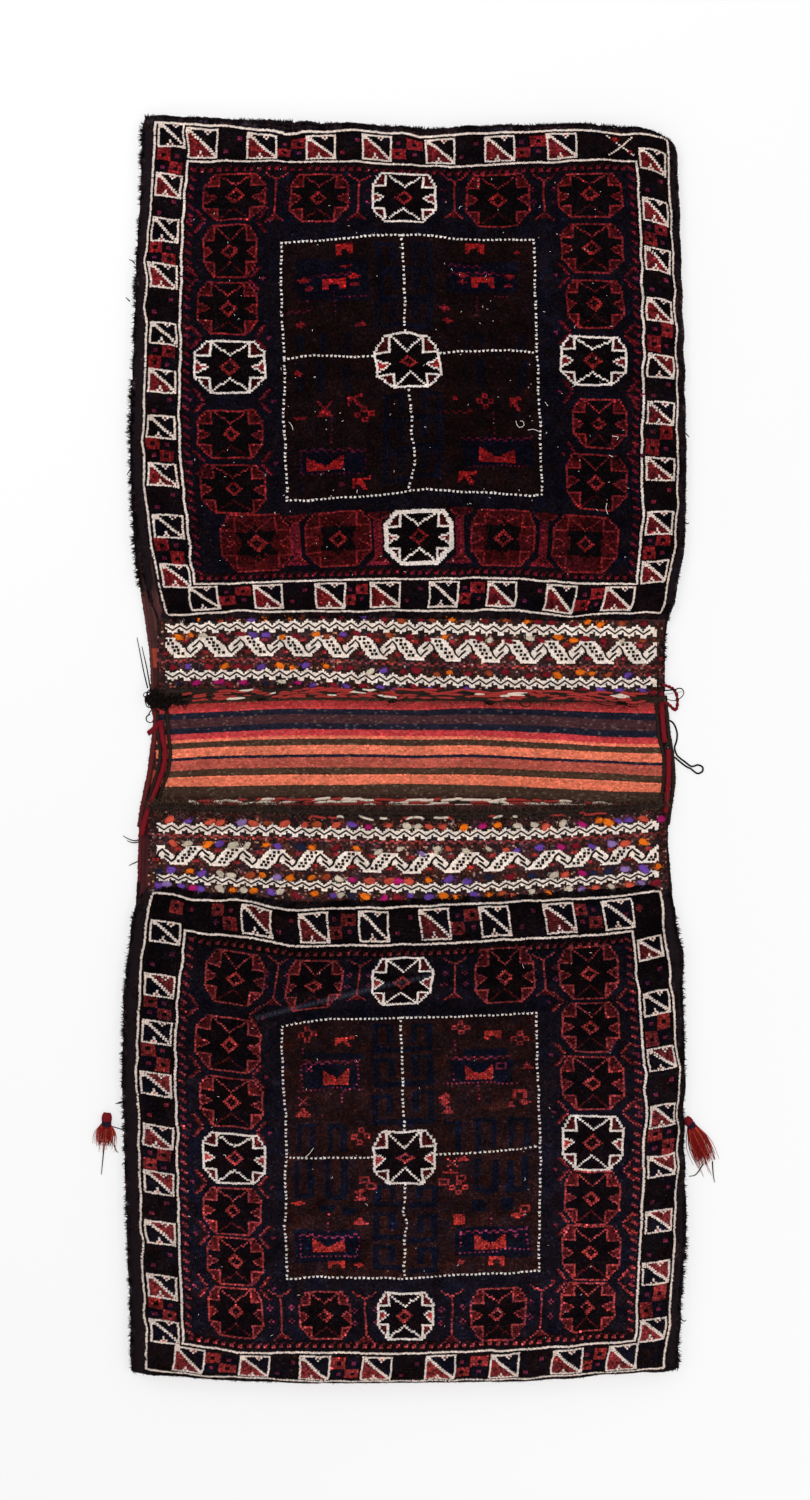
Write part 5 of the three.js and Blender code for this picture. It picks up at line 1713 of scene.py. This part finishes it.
def zigzag(chart, v):
    """An ivory zigzag stripe with toothed edges on dark ground."""
    chart.block(3, v - 3, BAND_ACROSS - 3, v + 3, "dark")
    for u in range(4, BAND_ACROSS - 3):
        middle = v + zigzag_offset(u)
        reach = 2.0 if u % 2 else 1.35
        chart.line([(u, middle - reach), (u, middle + reach)], "ivory")


def scroll_places(band):
    """Middles of the bars and of the hooks between them, in stitches."""
    start, end = band["span"]
    places = (np.asarray(band["bars"]) - start) / (end - start) * BAND_ACROSS
    return places, (places[:-1] + places[1:]) / 2


def scroll(chart, top, way, places, hearts):
    """A running ribbon of ivory: dotted bars that lean one way, and hooks between them that lean back."""
    rows = np.arange(SCROLL_ROWS) - SCROLL_HALF

    def put(start, end, r, name):
        cells = range(math.ceil(start), math.floor(end) + 1)
        chart.dots([(u, top + SCROLL_HALF + r) for u in cells if 4 <= u <= BAND_ACROSS - 4], name)

    def hook_edge(r):
        return -4.5 + (0.45 - r) * 1.05 if r < 0.45 else -7

    for rim, name in ((1, "dark"), (0, "ivory")):
        for r in rows:
            for place in places:
                middle = place + BAR_SLOPE * r * way
                put(middle - BAR_HALF - rim, middle + BAR_HALF + rim, r, name)
            for heart in hearts:
                ends = sorted((heart + way * hook_edge(r), heart - way * hook_edge(-r)))
                put(ends[0] - rim, ends[1] + rim, r, name)
    for place in places:
        for r in rows[1:-1:2]:
            middle = round(place + BAR_SLOPE * r * way)
            chart.dots([(middle - 1, top + SCROLL_HALF + r), (middle + 1, top + SCROLL_HALF + r)], "black")


def row_map(rows, span, across=BAND_ACROSS):
    """Map from the rows of a band or the bridge to photograph pixels."""
    chart, pixels = [], []
    for v, *heights in rows:
        for share, y in zip(BAND_SHARES, heights):
            chart.append((share * across, v))
            pixels.append((span[0] + share * (span[1] - span[0]), y))
    return thin_plate(chart, pixels)


def band_map(band):
    """Map from the chart of a closure band to photograph pixels."""
    return row_map(band["rows"], band["span"])


def band_chart(band, places, hearts):
    """The chart of a closure band: speckled ground, red notches, twill, the scroll and two zigzags."""
    rows, top, way = band["rows"][-1][0], band["scroll"], band["way"]
    chart = Chart(BAND_ACROSS, rows, 0, 0, "ground")
    speckle = np.random.default_rng(rows).random(chart.size)
    for is_there, name in ((speckle < 0.36, "dark"), (speckle > 0.86, "line"), (speckle > 0.955, "fleck")):
        chart.cells[is_there] = chart.wool(name)
    chart.block(3, top + 1, BAND_ACROSS - 3, top + SCROLL_ROWS - 2, "notch")
    for heart in hearts:
        low, high = round(heart + NOTCH_SHIFT * way), round(heart - NOTCH_SHIFT * way)
        chart.block(low - 1, top + 8, low + 1, top + 9, "notch_red")
        chart.block(high - 1, top + 1, high + 1, top + 2, "notch_red")
    for u in range(BAND_ACROSS + 1):
        chart.dots([(u, band["twill"] + (u // 2) % 2)], "twill")
    scroll(chart, top, way, places, hearts)
    for v in band["zigzags"]:
        zigzag(chart, v)
    return chart


def band_lines(name, band, hearts):
    """Thin dark wefts that draw the zigzags and the hooks over the ivory."""
    step = ZIGZAG_PERIOD / 2
    corners = np.arange(1, int(BAND_ACROSS / step)) * step
    zigzag_routes = [[(u, v + zigzag_offset(u)) for u in corners] for v in band["zigzags"]]
    middle, way = band["scroll"] + SCROLL_HALF, band["way"]
    hook_routes = [
        [(heart + way * turn * a, middle + turn * b) for a, b in HOOK_LINE]
        for heart in hearts if 5 < heart < BAND_ACROSS - 5
        for turn in (-1, 1)
    ]
    to_pixels = band_map(band)

    def lines(kind, routes, radius):
        places = [plan(to_pixels(np.asarray(route))) for route in routes]
        paths = [np.c_[place, front_top(place[:, 0], place[:, 1]) + LINE_LIFT] for place in places]
        return strands(f"{name}_{kind}_lines", paths, radius, GOAT_HAIR, sides=4)

    return [lines("zigzag", zigzag_routes, ZIGZAG_LINE), lines("hook", hook_routes, band["hook"])]


def stitches(name, to_pixels, colours, level, seed, cell, raised, fluff):
    """Woven stitches over a part of the cloth."""
    across, down = colours.shape[:2]
    u, v = np.meshgrid(np.arange(across), np.arange(down), indexing="ij")
    rng = np.random.default_rng(seed)
    spots = np.stack([u.ravel() + rng.normal(0, 0.08, u.size), v.ravel() + rng.normal(0, 0.06, u.size)], -1)
    place = plan(to_pixels(spots))
    height = level(place[:, 0], place[:, 1]) + raised.ravel() + STITCH_LIFT
    source = loose_points(name, np.c_[place, height], {"wool": with_alpha(colours), "fluff": fluff.ravel()})
    width, length = STITCH_COVER[0] * cell[0] * PIXEL, STITCH_COVER[1] * cell[1] * PIXEL
    return grow(source, KNOT_TREE, BROCADE_WOOL, Width=width, Length=length, Height=STITCH, Lean=0.0)


def closure_band(name, band):
    """The brocaded stitches of one band, and its dark lines."""
    places, hearts = scroll_places(band)
    chart = band_chart(band, places, hearts)
    colours = wool_colours(chart, BAND_WOOLS, band["seed"])
    is_black = chart.cells == chart.wool("black")
    woven = stitches(name, band_map(band), colours, front_top, band["seed"], BAND_CELL,
                     raised=np.where(is_black, 0.0009, 0.0), fluff=np.where(is_black, 1.12, 1.0))
    return [woven, *band_lines(name, band, hearts)]


def bridge_face():
    """The striped flat weave between the pouches."""
    heights = np.array([stripe[0] for stripe in BRIDGE_STRIPES])
    height = BRIDGE_EDGES[1] - BRIDGE_EDGES[0]
    ends = np.cumsum(heights) * height / heights.sum()
    dyes = np.array([linear(stripe[1]) for stripe in BRIDGE_STRIPES])
    size = (BRIDGE_ACROSS, int(height / BRIDGE_ROW))
    rng = np.random.default_rng(21)
    stripe = np.searchsorted(ends, np.arange(size[1]) * BRIDGE_ROW).clip(0, len(dyes) - 1)
    row_shade = 0.07 * rng.normal(0, 1, (1, size[1]))
    shade = 0.2 * rng.normal(0, 1, size) + row_shade + 0.06 * cloud(size, 9, rng)
    colours = dyes[stripe][None] * np.exp(shade)[..., None]
    flecks = (rng.random(size) < 0.06)[..., None]
    colours = np.where(flecks, linear(BRIDGE_FLECK) * 0.12 + colours * 0.88, colours)
    bend = cloud((BRIDGE_ACROSS + 1, size[1] + 1), 24, rng)
    straight = row_map(BRIDGE_LINES, BRIDGE_SPAN, BRIDGE_ACROSS)

    def to_pixels(points):
        u, v = np.clip(np.round(points).astype(int), 0, (BRIDGE_ACROSS, size[1])).T
        return straight(points) + np.c_[np.zeros(len(points)), 0.5 * bend[u, v]]

    return stitches("bridge_stripes", to_pixels, colours, bridge_top, seed=22, cell=BRIDGE_CELL,
                    raised=np.zeros(size), fluff=np.ones(size))


def directions(path):
    """Unit vectors across a path and above it, at each of its points."""
    ahead = np.gradient(path, axis=0)
    ahead /= np.linalg.norm(ahead, axis=1)[:, None] + 1e-12
    across = np.cross(ahead, (0.0, 0.0, 1.0))
    across[np.linalg.norm(across, axis=1) < 1e-3] = (1, 0, 0)
    across /= np.linalg.norm(across, axis=1)[:, None]
    return across, np.cross(across, ahead)


def tube(points, radius, sides=5, taper=0.0):
    """Points and faces of a closed tube along a path."""
    points = np.asarray(points, float)
    across, above = directions(points)
    turn = np.arange(sides) * 2 * math.pi / sides
    size = radius * (1 - taper * np.linspace(0, 1, len(points)))[:, None, None]
    ring = across[:, None] * np.cos(turn)[None, :, None] + above[:, None] * np.sin(turn)[None, :, None]
    skin = (points[:, None] + ring * size).reshape(-1, 3)
    index = np.arange(len(points) * sides).reshape(len(points), sides)
    after = np.roll(index, -1, axis=1)
    faces = np.stack([index[:-1], after[:-1], after[1:], index[1:]], -1).reshape(-1, 4).tolist()
    faces += [index[0, ::-1].tolist(), index[-1].tolist()]
    return skin, faces


def strands(name, paths, radius, material, sides=5, taper=0.0):
    """One piece of many strands."""
    skins, faces, count = [], [], 0
    for path in paths:
        skin, rings = tube(path, radius, sides, taper)
        skins.append(skin)
        faces += [[corner + count for corner in ring] for ring in rings]
        count += len(skin)
    mesh = bpy.data.meshes.new(name)
    mesh.from_pydata(np.vstack(skins).tolist(), [], faces)
    mesh.polygons.foreach_set("use_smooth", [True] * len(mesh.polygons))
    piece = link(name, mesh)
    piece.data.materials.append(material)
    return piece


def twist(path, radius, turns, phase):
    """A path wound round another."""
    turn = np.linspace(0, 1, len(path)) * turns * 2 * math.pi + phase
    across, above = directions(path)
    return path + radius * (across * np.cos(turn)[:, None] + above * np.sin(turn)[:, None])


def cord_path(route, count):
    """A smooth path through photograph pixels, each at its own height."""
    route = np.asarray(route, float)
    return spline(np.c_[plan(route[:, :2]), route[:, 2] / 1000], count)


def lying(points, level, count=60):
    """A smooth path through photograph pixels at one height above the floor."""
    return spline(np.c_[plan(points), np.full(len(points), level)], count)


def plied_cord(name, path, radius, turns, material):
    """A cord of two yarns twisted round each other."""
    plies = [twist(path, radius * 0.5, turns, phase) for phase in (0, math.pi)]
    return strands(name, plies, radius * 0.55, material, sides=6)


def overcast(name, path, wraps, material):
    """Yarn wrapped round an edge."""
    sizes = dict(zip(("Radius", "Pitch", "Yarn", "Slant"), wraps))
    return grow(path_piece(name, path), OVERCAST_TREE, material, **sizes)


def binding(name, side, low, high, material):
    """Overcasting along a side of the bag between two heights of the photograph, a little inside its edge."""
    edge, inset = (LEFT_EDGE, BINDING_INSET) if side == "left" else (RIGHT_EDGE, -BINDING_INSET)
    y = plan(np.c_[np.zeros(80), np.linspace(low, high, 80)])[:, 1]
    path = np.c_[side_x(edge, y) + inset, y, np.full(80, BINDING_LEVEL)]
    return overcast(name, path, BINDING_WRAPS, material)


def mouth_path(band, v):
    """A path across the bag along one row of a closure band."""
    place = plan(band_map(band)(np.c_[np.linspace(0, BAND_ACROSS, 90), np.full(90, v)]))
    return np.c_[place, front_top(place[:, 0], place[:, 1]) + LIP_LIFT]


def hairs_along(name, path, count, reach, length, thick, lean, seed):
    """Loose hairs scattered along a path."""
    rng = np.random.default_rng(seed)
    points = part_way(path, rng.random(count) * (len(path) - 1))
    points[:, :2] += rng.normal(0, reach, (count, 2))
    dyes = linear(HAIR_DYES[0]) + rng.random((count, 1)) ** 2 * linear(HAIR_DYES[1])
    aims = np.tile((lean, 0.0, 0.0), (count, 1))
    source = loose_points(name, points, {"aim": aims, "wool": with_alpha(dyes)})
    return grow(source, HAIR_TREE, TUFT_WOOL, Length=length, Thickness=thick, Stray=1.0)


def tuft_row(band, v, pitch, size, dyes, rng):
    """Places, sizes and dyes of the wool tufts along one row."""
    start, end = band["span"]
    step = pitch / ((end - start) / BAND_ACROSS)
    spots, sizes, colours = [], [], []
    u = rng.uniform(4, 4 + step)
    while u < BAND_ACROSS - 3:
        spots.append((u, v + rng.normal(0, 0.6)))
        grown = rng.uniform(0.7, 1.2)
        sizes.append((size[0] * PIXEL / 2 * grown, size[1] * PIXEL / 2 * grown, rng.uniform(0.7, 1.2)))
        colours.append(linear(TUFT_DYES[dyes[rng.integers(len(dyes))]]) * rng.uniform(0.8, 1.15))
        u += step * rng.uniform(0.6, 1.5)
    return band_map(band)(spots), sizes, colours


def tufts(name, band, lines, seed):
    """All wool tufts of one closure band, with a fringe of fibres round each."""
    rng = np.random.default_rng(seed)
    rows = [tuft_row(band, *line, rng) for line in lines]
    pixels, sizes, colours = [np.vstack(values) for values in zip(*rows)]
    place = plan(pixels)
    points = np.c_[place, front_top(place[:, 0], place[:, 1]) + TUFT_LIFT]
    wool = with_alpha(colours)
    source = loose_points(f"{name}_tufts", points, {"wool": wool, "size": sizes})
    lumps = grow(source, LUMP_TREE, TUFT_WOOL, Height=0.0014, Ragged=0.005)
    many = np.repeat(np.arange(len(points)), TUFT_FIBRES)
    count = len(many)
    ends = points[many]
    ends[:, :2] += rng.normal(0, 0.55, (count, 2)) * sizes[many, :2]
    aims = np.c_[rng.uniform(-1.2, 1.2, count), rng.uniform(-1.2, 1.2, count), rng.uniform(0, 6, count)]
    source = loose_points(f"{name}_tuft_fibres", ends, {"wool": wool[many], "aim": aims})
    return [lumps, grow(source, HAIR_TREE, TUFT_WOOL, Length=0.0042, Thickness=0.0008, Stray=0.4)]


def wound(path, radii, turns):
    """A yarn wound round a path, closer where the radii are small."""
    count = len(path) * 16
    place = np.linspace(0, len(path) - 1, count)
    axis = np.stack([np.interp(place, np.arange(len(path)), path[:, k]) for k in range(3)], -1)
    radius = np.interp(place, np.arange(len(path)), radii)[:, None]
    ahead = path[-1] - path[0]
    ahead = ahead / np.linalg.norm(ahead)
    side = np.cross(ahead, (0, 0, 1))
    turn = np.linspace(0, turns * 2 * math.pi, count)[:, None]
    return axis + radius * (side * np.cos(turn) + np.array([0, 0, TASSEL_FLAT]) * np.sin(turn))


def tassel(name, knot, band, hem, head_width, hem_width, wisps, seed):
    """A wound head, a dark band and a skirt of loose red strands that lie on the floor."""
    rng = np.random.default_rng(seed)
    knot, band, hem = [np.r_[plan(point), TASSEL_LEVEL] for point in (knot, band, hem)]
    radius = head_width * PIXEL / 2
    share = np.linspace(0, 1, 9)[:, None]
    round_off = np.sin(np.linspace(0.5, 2.5, 9)) ** 0.6
    coil = wound(knot * (1 - share) + band * share, radius * round_off, turns=13)
    head = strands(f"{name}_head_yarn", [coil], radius=0.0008, material=CRIMSON_YARN)
    length = np.linalg.norm(hem - band)
    ahead = (hem - band) / length
    side = np.array([-ahead[1], ahead[0], 0])
    coil = wound(band + ahead * (share - 0.3) * TASSEL_BAND, np.full(9, radius * 0.92), turns=7)
    dark = strands(f"{name}_band_yarn", [coil], radius=0.0007, material=NAVY_YARN)
    axis = np.linspace(knot, band + ahead * 0.006, 5)
    core = strands(f"{name}_core", [axis], radius * 0.6, CRIMSON_YARN, sides=8)
    red, bright = [], []
    for _ in range(TASSEL_STRANDS):
        way = np.clip(rng.normal(0, 0.45), -1, 1)
        reach = length * rng.uniform(0.8, 1.08) * (1.3 if rng.random() < wisps else 1)
        start = band + side * way * radius * 0.9 + (0, 0, rng.uniform(-0.7, 0.7) * radius * 0.55)
        end = band + ahead * reach + side * (way * hem_width * PIXEL / 2 + rng.normal(0, 0.0014))
        middle = 0.5 * (start + end) + side * (way * hem_width * PIXEL * 0.16 + rng.normal(0, 0.0009))
        lift = rng.uniform(0, 1)
        middle[2], end[2] = 0.0012 + 0.006 * lift, 0.0008 + 0.0042 * lift
        (bright if rng.random() < 0.3 else red).append(spline([start, middle, end], 8))
    loose = {"sides": 3, "taper": 0.6}
    skirt = strands(f"{name}_skirt_strands", red, radius=0.0006, material=RED_TASSEL, **loose)
    lighter = strands(f"{name}_light_strands", bright, radius=0.0005, material=LIGHT_TASSEL, **loose)
    return [head, dark, core], [skirt, lighter]


def tangle(name, centre, size, count, radius, material, seed, spray):
    """A tangled lump of hair."""
    rng = np.random.default_rng(seed)
    paths = []
    for _ in range(count):
        points = rng.normal(0, 1, (5, 3))
        points /= np.linalg.norm(points, axis=1)[:, None]
        points *= rng.uniform(0.4, 1.0, (5, 1))
        points[-1] *= 1 + rng.exponential(spray)
        points = points * size + centre
        points[:, 2] = np.maximum(points[:, 2], 0.0006)
        paths.append(spline(points, 12))
    return strands(name, paths, radius, material, sides=3, taper=0.3)


def broken_floats(name, points, level, tracks, dyes, radius, seed):
    """Loose wefts along a mouth that show in short lengths and dive under in between."""
    rng = np.random.default_rng(seed)
    path = lying(points, level, 900)
    shown = {dye: [] for dye in dyes}
    for track in tracks:
        place = int(rng.integers(0, 30))
        while place < len(path) - 30:
            length = int(rng.integers(14, 44))
            run = path[place:place + length].copy()
            bow = np.sin(np.linspace(0, math.pi, len(run)))
            slant = rng.normal(0, 0.0007)
            run[:, 1] += -track * PIXEL + np.linspace(-slant, slant, len(run)) + 0.0006 * rng.normal() * bow
            run[:, 2] += 0.0016 * bow - 0.0010
            dye = list(dyes)[rng.choice(len(dyes), p=list(dyes.values()))]
            if len(run) > 5:
                shown[dye].append(run[::4])
            place += int(length * rng.uniform(0.6, 1.05))
    yarns = {"red": CORAL_YARN, "white": WHITE_YARN, "dark": BROWN_HAIR}
    return [
        strands(f"{name}_{dye}_float", runs, radius, yarns[dye], sides=4)
        for dye, runs in shown.items() if runs
    ]


def somewhere(box, rng):
    """A random place of the plan inside a box of photograph pixels."""
    low, high = np.array(box[:2], float), np.array(box[2:], float)
    return plan(low + (high - low) * rng.random(2))


def curls(name, box, heights, count, radius, seed):
    """Small curls of hair that lie over each other in a patch of photograph pixels."""
    rng = np.random.default_rng(seed)
    paths = []
    for _ in range(count):
        centre = np.r_[somewhere(box, rng), rng.uniform(*heights)]
        turn = np.linspace(0, rng.uniform(4, 8), 10) + rng.uniform(0, 6)
        reach = rng.uniform(0.0014, 0.0036)
        ring = np.c_[np.cos(turn), np.sin(turn), np.sin(turn + rng.uniform(0, 6)) * rng.uniform(0.3, 0.9)]
        path = centre + ring * reach + np.linspace(0, 1, 10)[:, None] * rng.normal(0, 0.0022, 3)
        path[:, 2] = np.maximum(path[:, 2], 0.001)
        paths.append(path)
    return strands(name, paths, radius, GOAT_HAIR, sides=3, taper=0.2)


def lint(name, box, count, seed):
    """Short white fibres caught in the pile."""
    rng = np.random.default_rng(seed)
    paths = []
    for _ in range(count):
        centre = somewhere(box, rng)
        top = PILE_LEVEL + PILE_WAVE * float(ripple(*centre, PILE_WAVE_SEED)) + LINT_LIFT
        turn, bend = rng.uniform(0, 2 * math.pi), rng.normal(0, 1.2)
        size = 0.0004 + 0.0003 * rng.exponential(1)
        ways = (turn - bend, turn, turn + bend)
        steps = np.array([[math.cos(way) * size, math.sin(way) * size] for way in ways])
        spots = centre + np.vstack([[0, 0], np.cumsum(steps, axis=0)])
        paths.append(np.c_[spots, np.full(4, top)])
    return strands(name, paths, radius=0.0003, material=LINT, sides=3)


def edge_fuzz(name, points, count, level, length, seed, outward):
    """Short hairs that stand out from an edge, in small clumps."""
    rng = np.random.default_rng(seed)
    edge = plan(dense(points, 6))
    path = np.c_[edge, np.zeros(len(edge))]
    clumps = np.repeat(rng.random(count // 5), 5) * (len(path) - 1)
    count = len(clumps)
    pick = np.clip(clumps + rng.normal(0, 0.2, count), 0, len(path) - 1.001)
    spots = part_way(path, pick)
    low = pick.astype(int)
    ahead = path[low + 1] - path[low]
    normal = np.c_[ahead[:, 1], -ahead[:, 0]] / (np.linalg.norm(ahead, axis=1)[:, None] + 1e-9) * outward
    spots[:, :2] -= normal * FUZZ_ROOT
    spots[:, 2] = level + rng.uniform(-FUZZ_SPREAD, FUZZ_SPREAD, count)
    aims = np.c_[rng.uniform(1.2, 1.75, count), np.zeros(count), np.arctan2(normal[:, 0], -normal[:, 1])]
    dyes = linear(FUZZ_DYES[0]) + rng.random((count, 1)) ** 3 * linear(FUZZ_DYES[1])
    source = loose_points(name, spots, {"aim": aims, "wool": with_alpha(dyes)})
    return grow(source, HAIR_TREE, TUFT_WOOL, Length=length, Thickness=FUZZ_THICKNESS, Stray=0.7)


# Node trees and wools that the pieces share
KNOT_TREE = knot_tree()
OVERCAST_TREE = overcast_tree()
HAIR_TREE = hair_tree()
LUMP_TREE = lump_tree()
WOOL_FIBRES = wool_group()
PILE_WOOL = knot_wool("knotted pile", root_shade=0.55)
BROCADE_WOOL = knot_wool("brocade", root_shade=0.86)
TUFT_WOOL = tinted_wool("tufts of dyed wool")
GOAT_HAIR = plain_wool("goat hair", (30, 23, 22))
PLUM_YARN = plain_wool("plum yarn", (96, 38, 40))
CRIMSON_YARN = plain_wool("crimson yarn", (122, 26, 36))
DUN_YARN = plain_wool("dun yarn", (92, 52, 50))
NAVY_YARN = plain_wool("navy yarn", (36, 30, 44))
BLACK_HAIR = plain_wool("black hair", (9, 7, 7))
LIGHT_TASSEL = plain_wool("faded tassel wool", (206, 92, 70))
LINT = plain_wool("white lint", (250, 240, 232))
RED_TASSEL = plain_wool("tassel wool", (146, 34, 32))
BROWN_HAIR = plain_wool("brown hair", (46, 36, 32))
WHITE_YARN = plain_wool("white yarn", (232, 214, 198))
CORAL_YARN = plain_wool("coral yarn", (168, 58, 54))

camera()
studio()

# Cords that lie free of the bag
loop_path = cord_path(LOOP_ROUTE, count=60)
red_loop = plied_cord("red_cord_loop", loop_path, radius=0.0019, turns=7, material=CRIMSON_YARN)
thread_path = cord_path(THREAD_ROUTE, count=140)
dark_thread = strands("dark_loose_thread", [thread_path], radius=0.0010, material=BLACK_HAIR, sides=6)

# Cloth, pile faces, closure bands, bridge and tufts
cloth, strip_length = strip_cloth()
upper = face("upper", UPPER_FACE)
lower = face("lower", LOWER_FACE)
upper_band = closure_band("upper_band", UPPER_BAND)
lower_band = closure_band("lower_band", LOWER_BAND)
bridge = bridge_face()
upper_tufts = tufts("upper", UPPER_BAND, UPPER_TUFTS, seed=41)
lower_tufts = tufts("lower", LOWER_BAND, LOWER_TUFTS, seed=42)

# Bindings of the pouches and edges of the bridge
bindings = {
    (name, side): binding(f"{name}_{side}_overcast", side, low, high, GOAT_HAIR)
    for name, side, low, high in BINDINGS
}
binding_ends = [
    binding("upper_left_binding_end", "left", low=594, high=692, material=DUN_YARN),
    binding("lower_left_binding_end", "left", low=822, high=886, material=PLUM_YARN),
]
left_cord, right_cord, lower_right_cord = [
    overcast(f"{name}_bridge_cord", cord_path(route, count=60), CORD_WRAPS, CRIMSON_YARN)
    for name, route in BRIDGE_CORDS.items()
]
left_path, right_path = [lying(points, SELVEDGE_LEVEL) for points in (LEFT_SELVEDGE, RIGHT_SELVEDGE)]
left_selvedge = overcast("left_selvedge", left_path, LEFT_SELVEDGE_WRAPS, PLUM_YARN)
right_selvedge = overcast("right_selvedge", right_path, RIGHT_SELVEDGE_WRAPS, BROWN_HAIR)
flanks = [
    overcast(f"cord_flank_{k + 1}", lying(points, FLANK_LEVEL), FLANK_WRAPS, BROWN_HAIR)
    for k, points in enumerate(CORD_FLANKS)
]
stub_path = cord_path(CORD_STUB, count=24)
cord_stub = plied_cord("red_cord_stub", stub_path, radius=0.0030, turns=3, material=CRIMSON_YARN)

# Mouths with their braids, fur, loose wefts and left hair
upper_lip = mouth_path(UPPER_BAND, UPPER_LIP_ROW)
lower_lip = mouth_path(LOWER_BAND, LOWER_LIP_ROW)
upper_braid = overcast("upper_mouth_overcast", upper_lip, MOUTH_WRAPS, BROWN_HAIR)
lower_braid = overcast("lower_mouth_overcast", lower_lip, MOUTH_WRAPS, BROWN_HAIR)
upper_fur = hairs_along("upper_mouth_fur", upper_lip, count=1800, reach=0.0024, length=0.0070, thick=0.0007,
                        lean=1.0, seed=51)
lower_fur = hairs_along("lower_mouth_fur", lower_lip, count=4600, reach=0.0040, length=0.0085, thick=0.0008,
                        lean=-1.0, seed=52)
floats = [piece for line in FLOATS for piece in broken_floats(*line)]
corner_knot, corner_curls = [curls(name, *sizes) for name, sizes in CURLS.items()]
mouth_tufts = []
for k, (x, y, half) in enumerate(MOUTH_TUFTS):
    centre, size = np.r_[plan([x, y]), MOUTH_TUFT_LEVEL], np.array(MOUTH_TUFT_SHAPE) * half / 1000
    mouth_tufts.append(tangle(f"mouth_hair_{k + 1}", centre, size, count=40, radius=0.0005,
                              material=GOAT_HAIR, seed=70 + k, spray=0.8))

# Tassels with their threads
heads, skirts = {}, {}
for side, sizes in TASSELS.items():
    heads[side], skirts[side] = tassel(f"{side}_tassel", *sizes)
tassel_paths = {side: cord_path(route, count=60) for side, route in TASSEL_THREADS.items()}
tassel_threads = {
    side: strands(f"{side}_tassel_yarn", [path], radius=0.0006, material=GOAT_HAIR, sides=6)
    for side, path in tassel_paths.items()
}

# Stray hairs, lint and fuzz
wisp_paths = [cord_path(points, count=16) for points in WISPS]
wisps = strands("stray_hairs", wisp_paths, radius=0.0008, material=BLACK_HAIR, sides=4, taper=0.5)
curl_paths = [lying(points, PILE_LEVEL + CURL_LIFT, count=9) for points in LINT_CURLS]
fibres = [strands("lint_curls", curl_paths, radius=0.0004, material=LINT, sides=3)]
fibres += [lint(name, *sizes) for name, sizes in LINT_BOXES.items()]
fuzz = [edge_fuzz(name, *sizes) for name, sizes in EDGE_FUZZ.items()]

# Pieces grouped by slot and each attached to the root body, and the nodes they replace
slots = {
    "ground_weave": [cloth, bridge],
    "dark_pile": [*upper, *lower],
    "ivory_wool": [upper_band[0], lower_band[0], *fibres],
    "goat_hair": [
        *upper_band[1:], *lower_band[1:], *bindings.values(), *binding_ends, right_selvedge, *flanks,
        upper_braid, lower_braid, upper_fur, lower_fur, corner_knot, corner_curls, *mouth_tufts, dark_thread,
        *tassel_threads.values(), wisps, *fuzz,
    ],
    "red_wool": [
        left_cord, right_cord, lower_right_cord, left_selvedge, cord_stub, red_loop, *floats, *upper_tufts,
        *lower_tufts, *heads["left"], *skirts["left"], *heads["right"], *skirts["right"],
    ],
}
for slot, pieces in slots.items():
    for piece in pieces:
        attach(piece, "root")
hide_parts("woven_cloth")
for name, pieces, band in (("upper", upper, upper_band), ("lower", lower, lower_band)):
    ivory = [f"{name}_ivory_octagon_{k}" for k in (1, 2, 3, 4)]
    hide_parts(f"{name}_pile", f"{name}_border", f"{name}_panel_lines", *ivory)
    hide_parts(f"{name}_scroll", f"{name}_zigzag_1", f"{name}_zigzag_2")
for (name, side), piece in bindings.items():
    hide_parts(f"{name}_{side}_binding")
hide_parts("bridge_left_cord")
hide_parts("bridge_right_cord")
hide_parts("upper_mouth_braid")
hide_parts("lower_mouth_braid")
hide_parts("corner_knot")
for k, piece in enumerate(mouth_tufts):
    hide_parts(f"mouth_tuft_{k + 1}")
for side, thread in tassel_threads.items():
    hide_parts(f"{side}_tassel_thread")
    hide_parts(f"{side}_tassel_head")
    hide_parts(f"{side}_tassel_skirt")
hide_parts("red_loop")
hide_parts("loose_thread")

size = {"cad": cad_box, "visual": [list(corner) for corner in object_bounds()]}
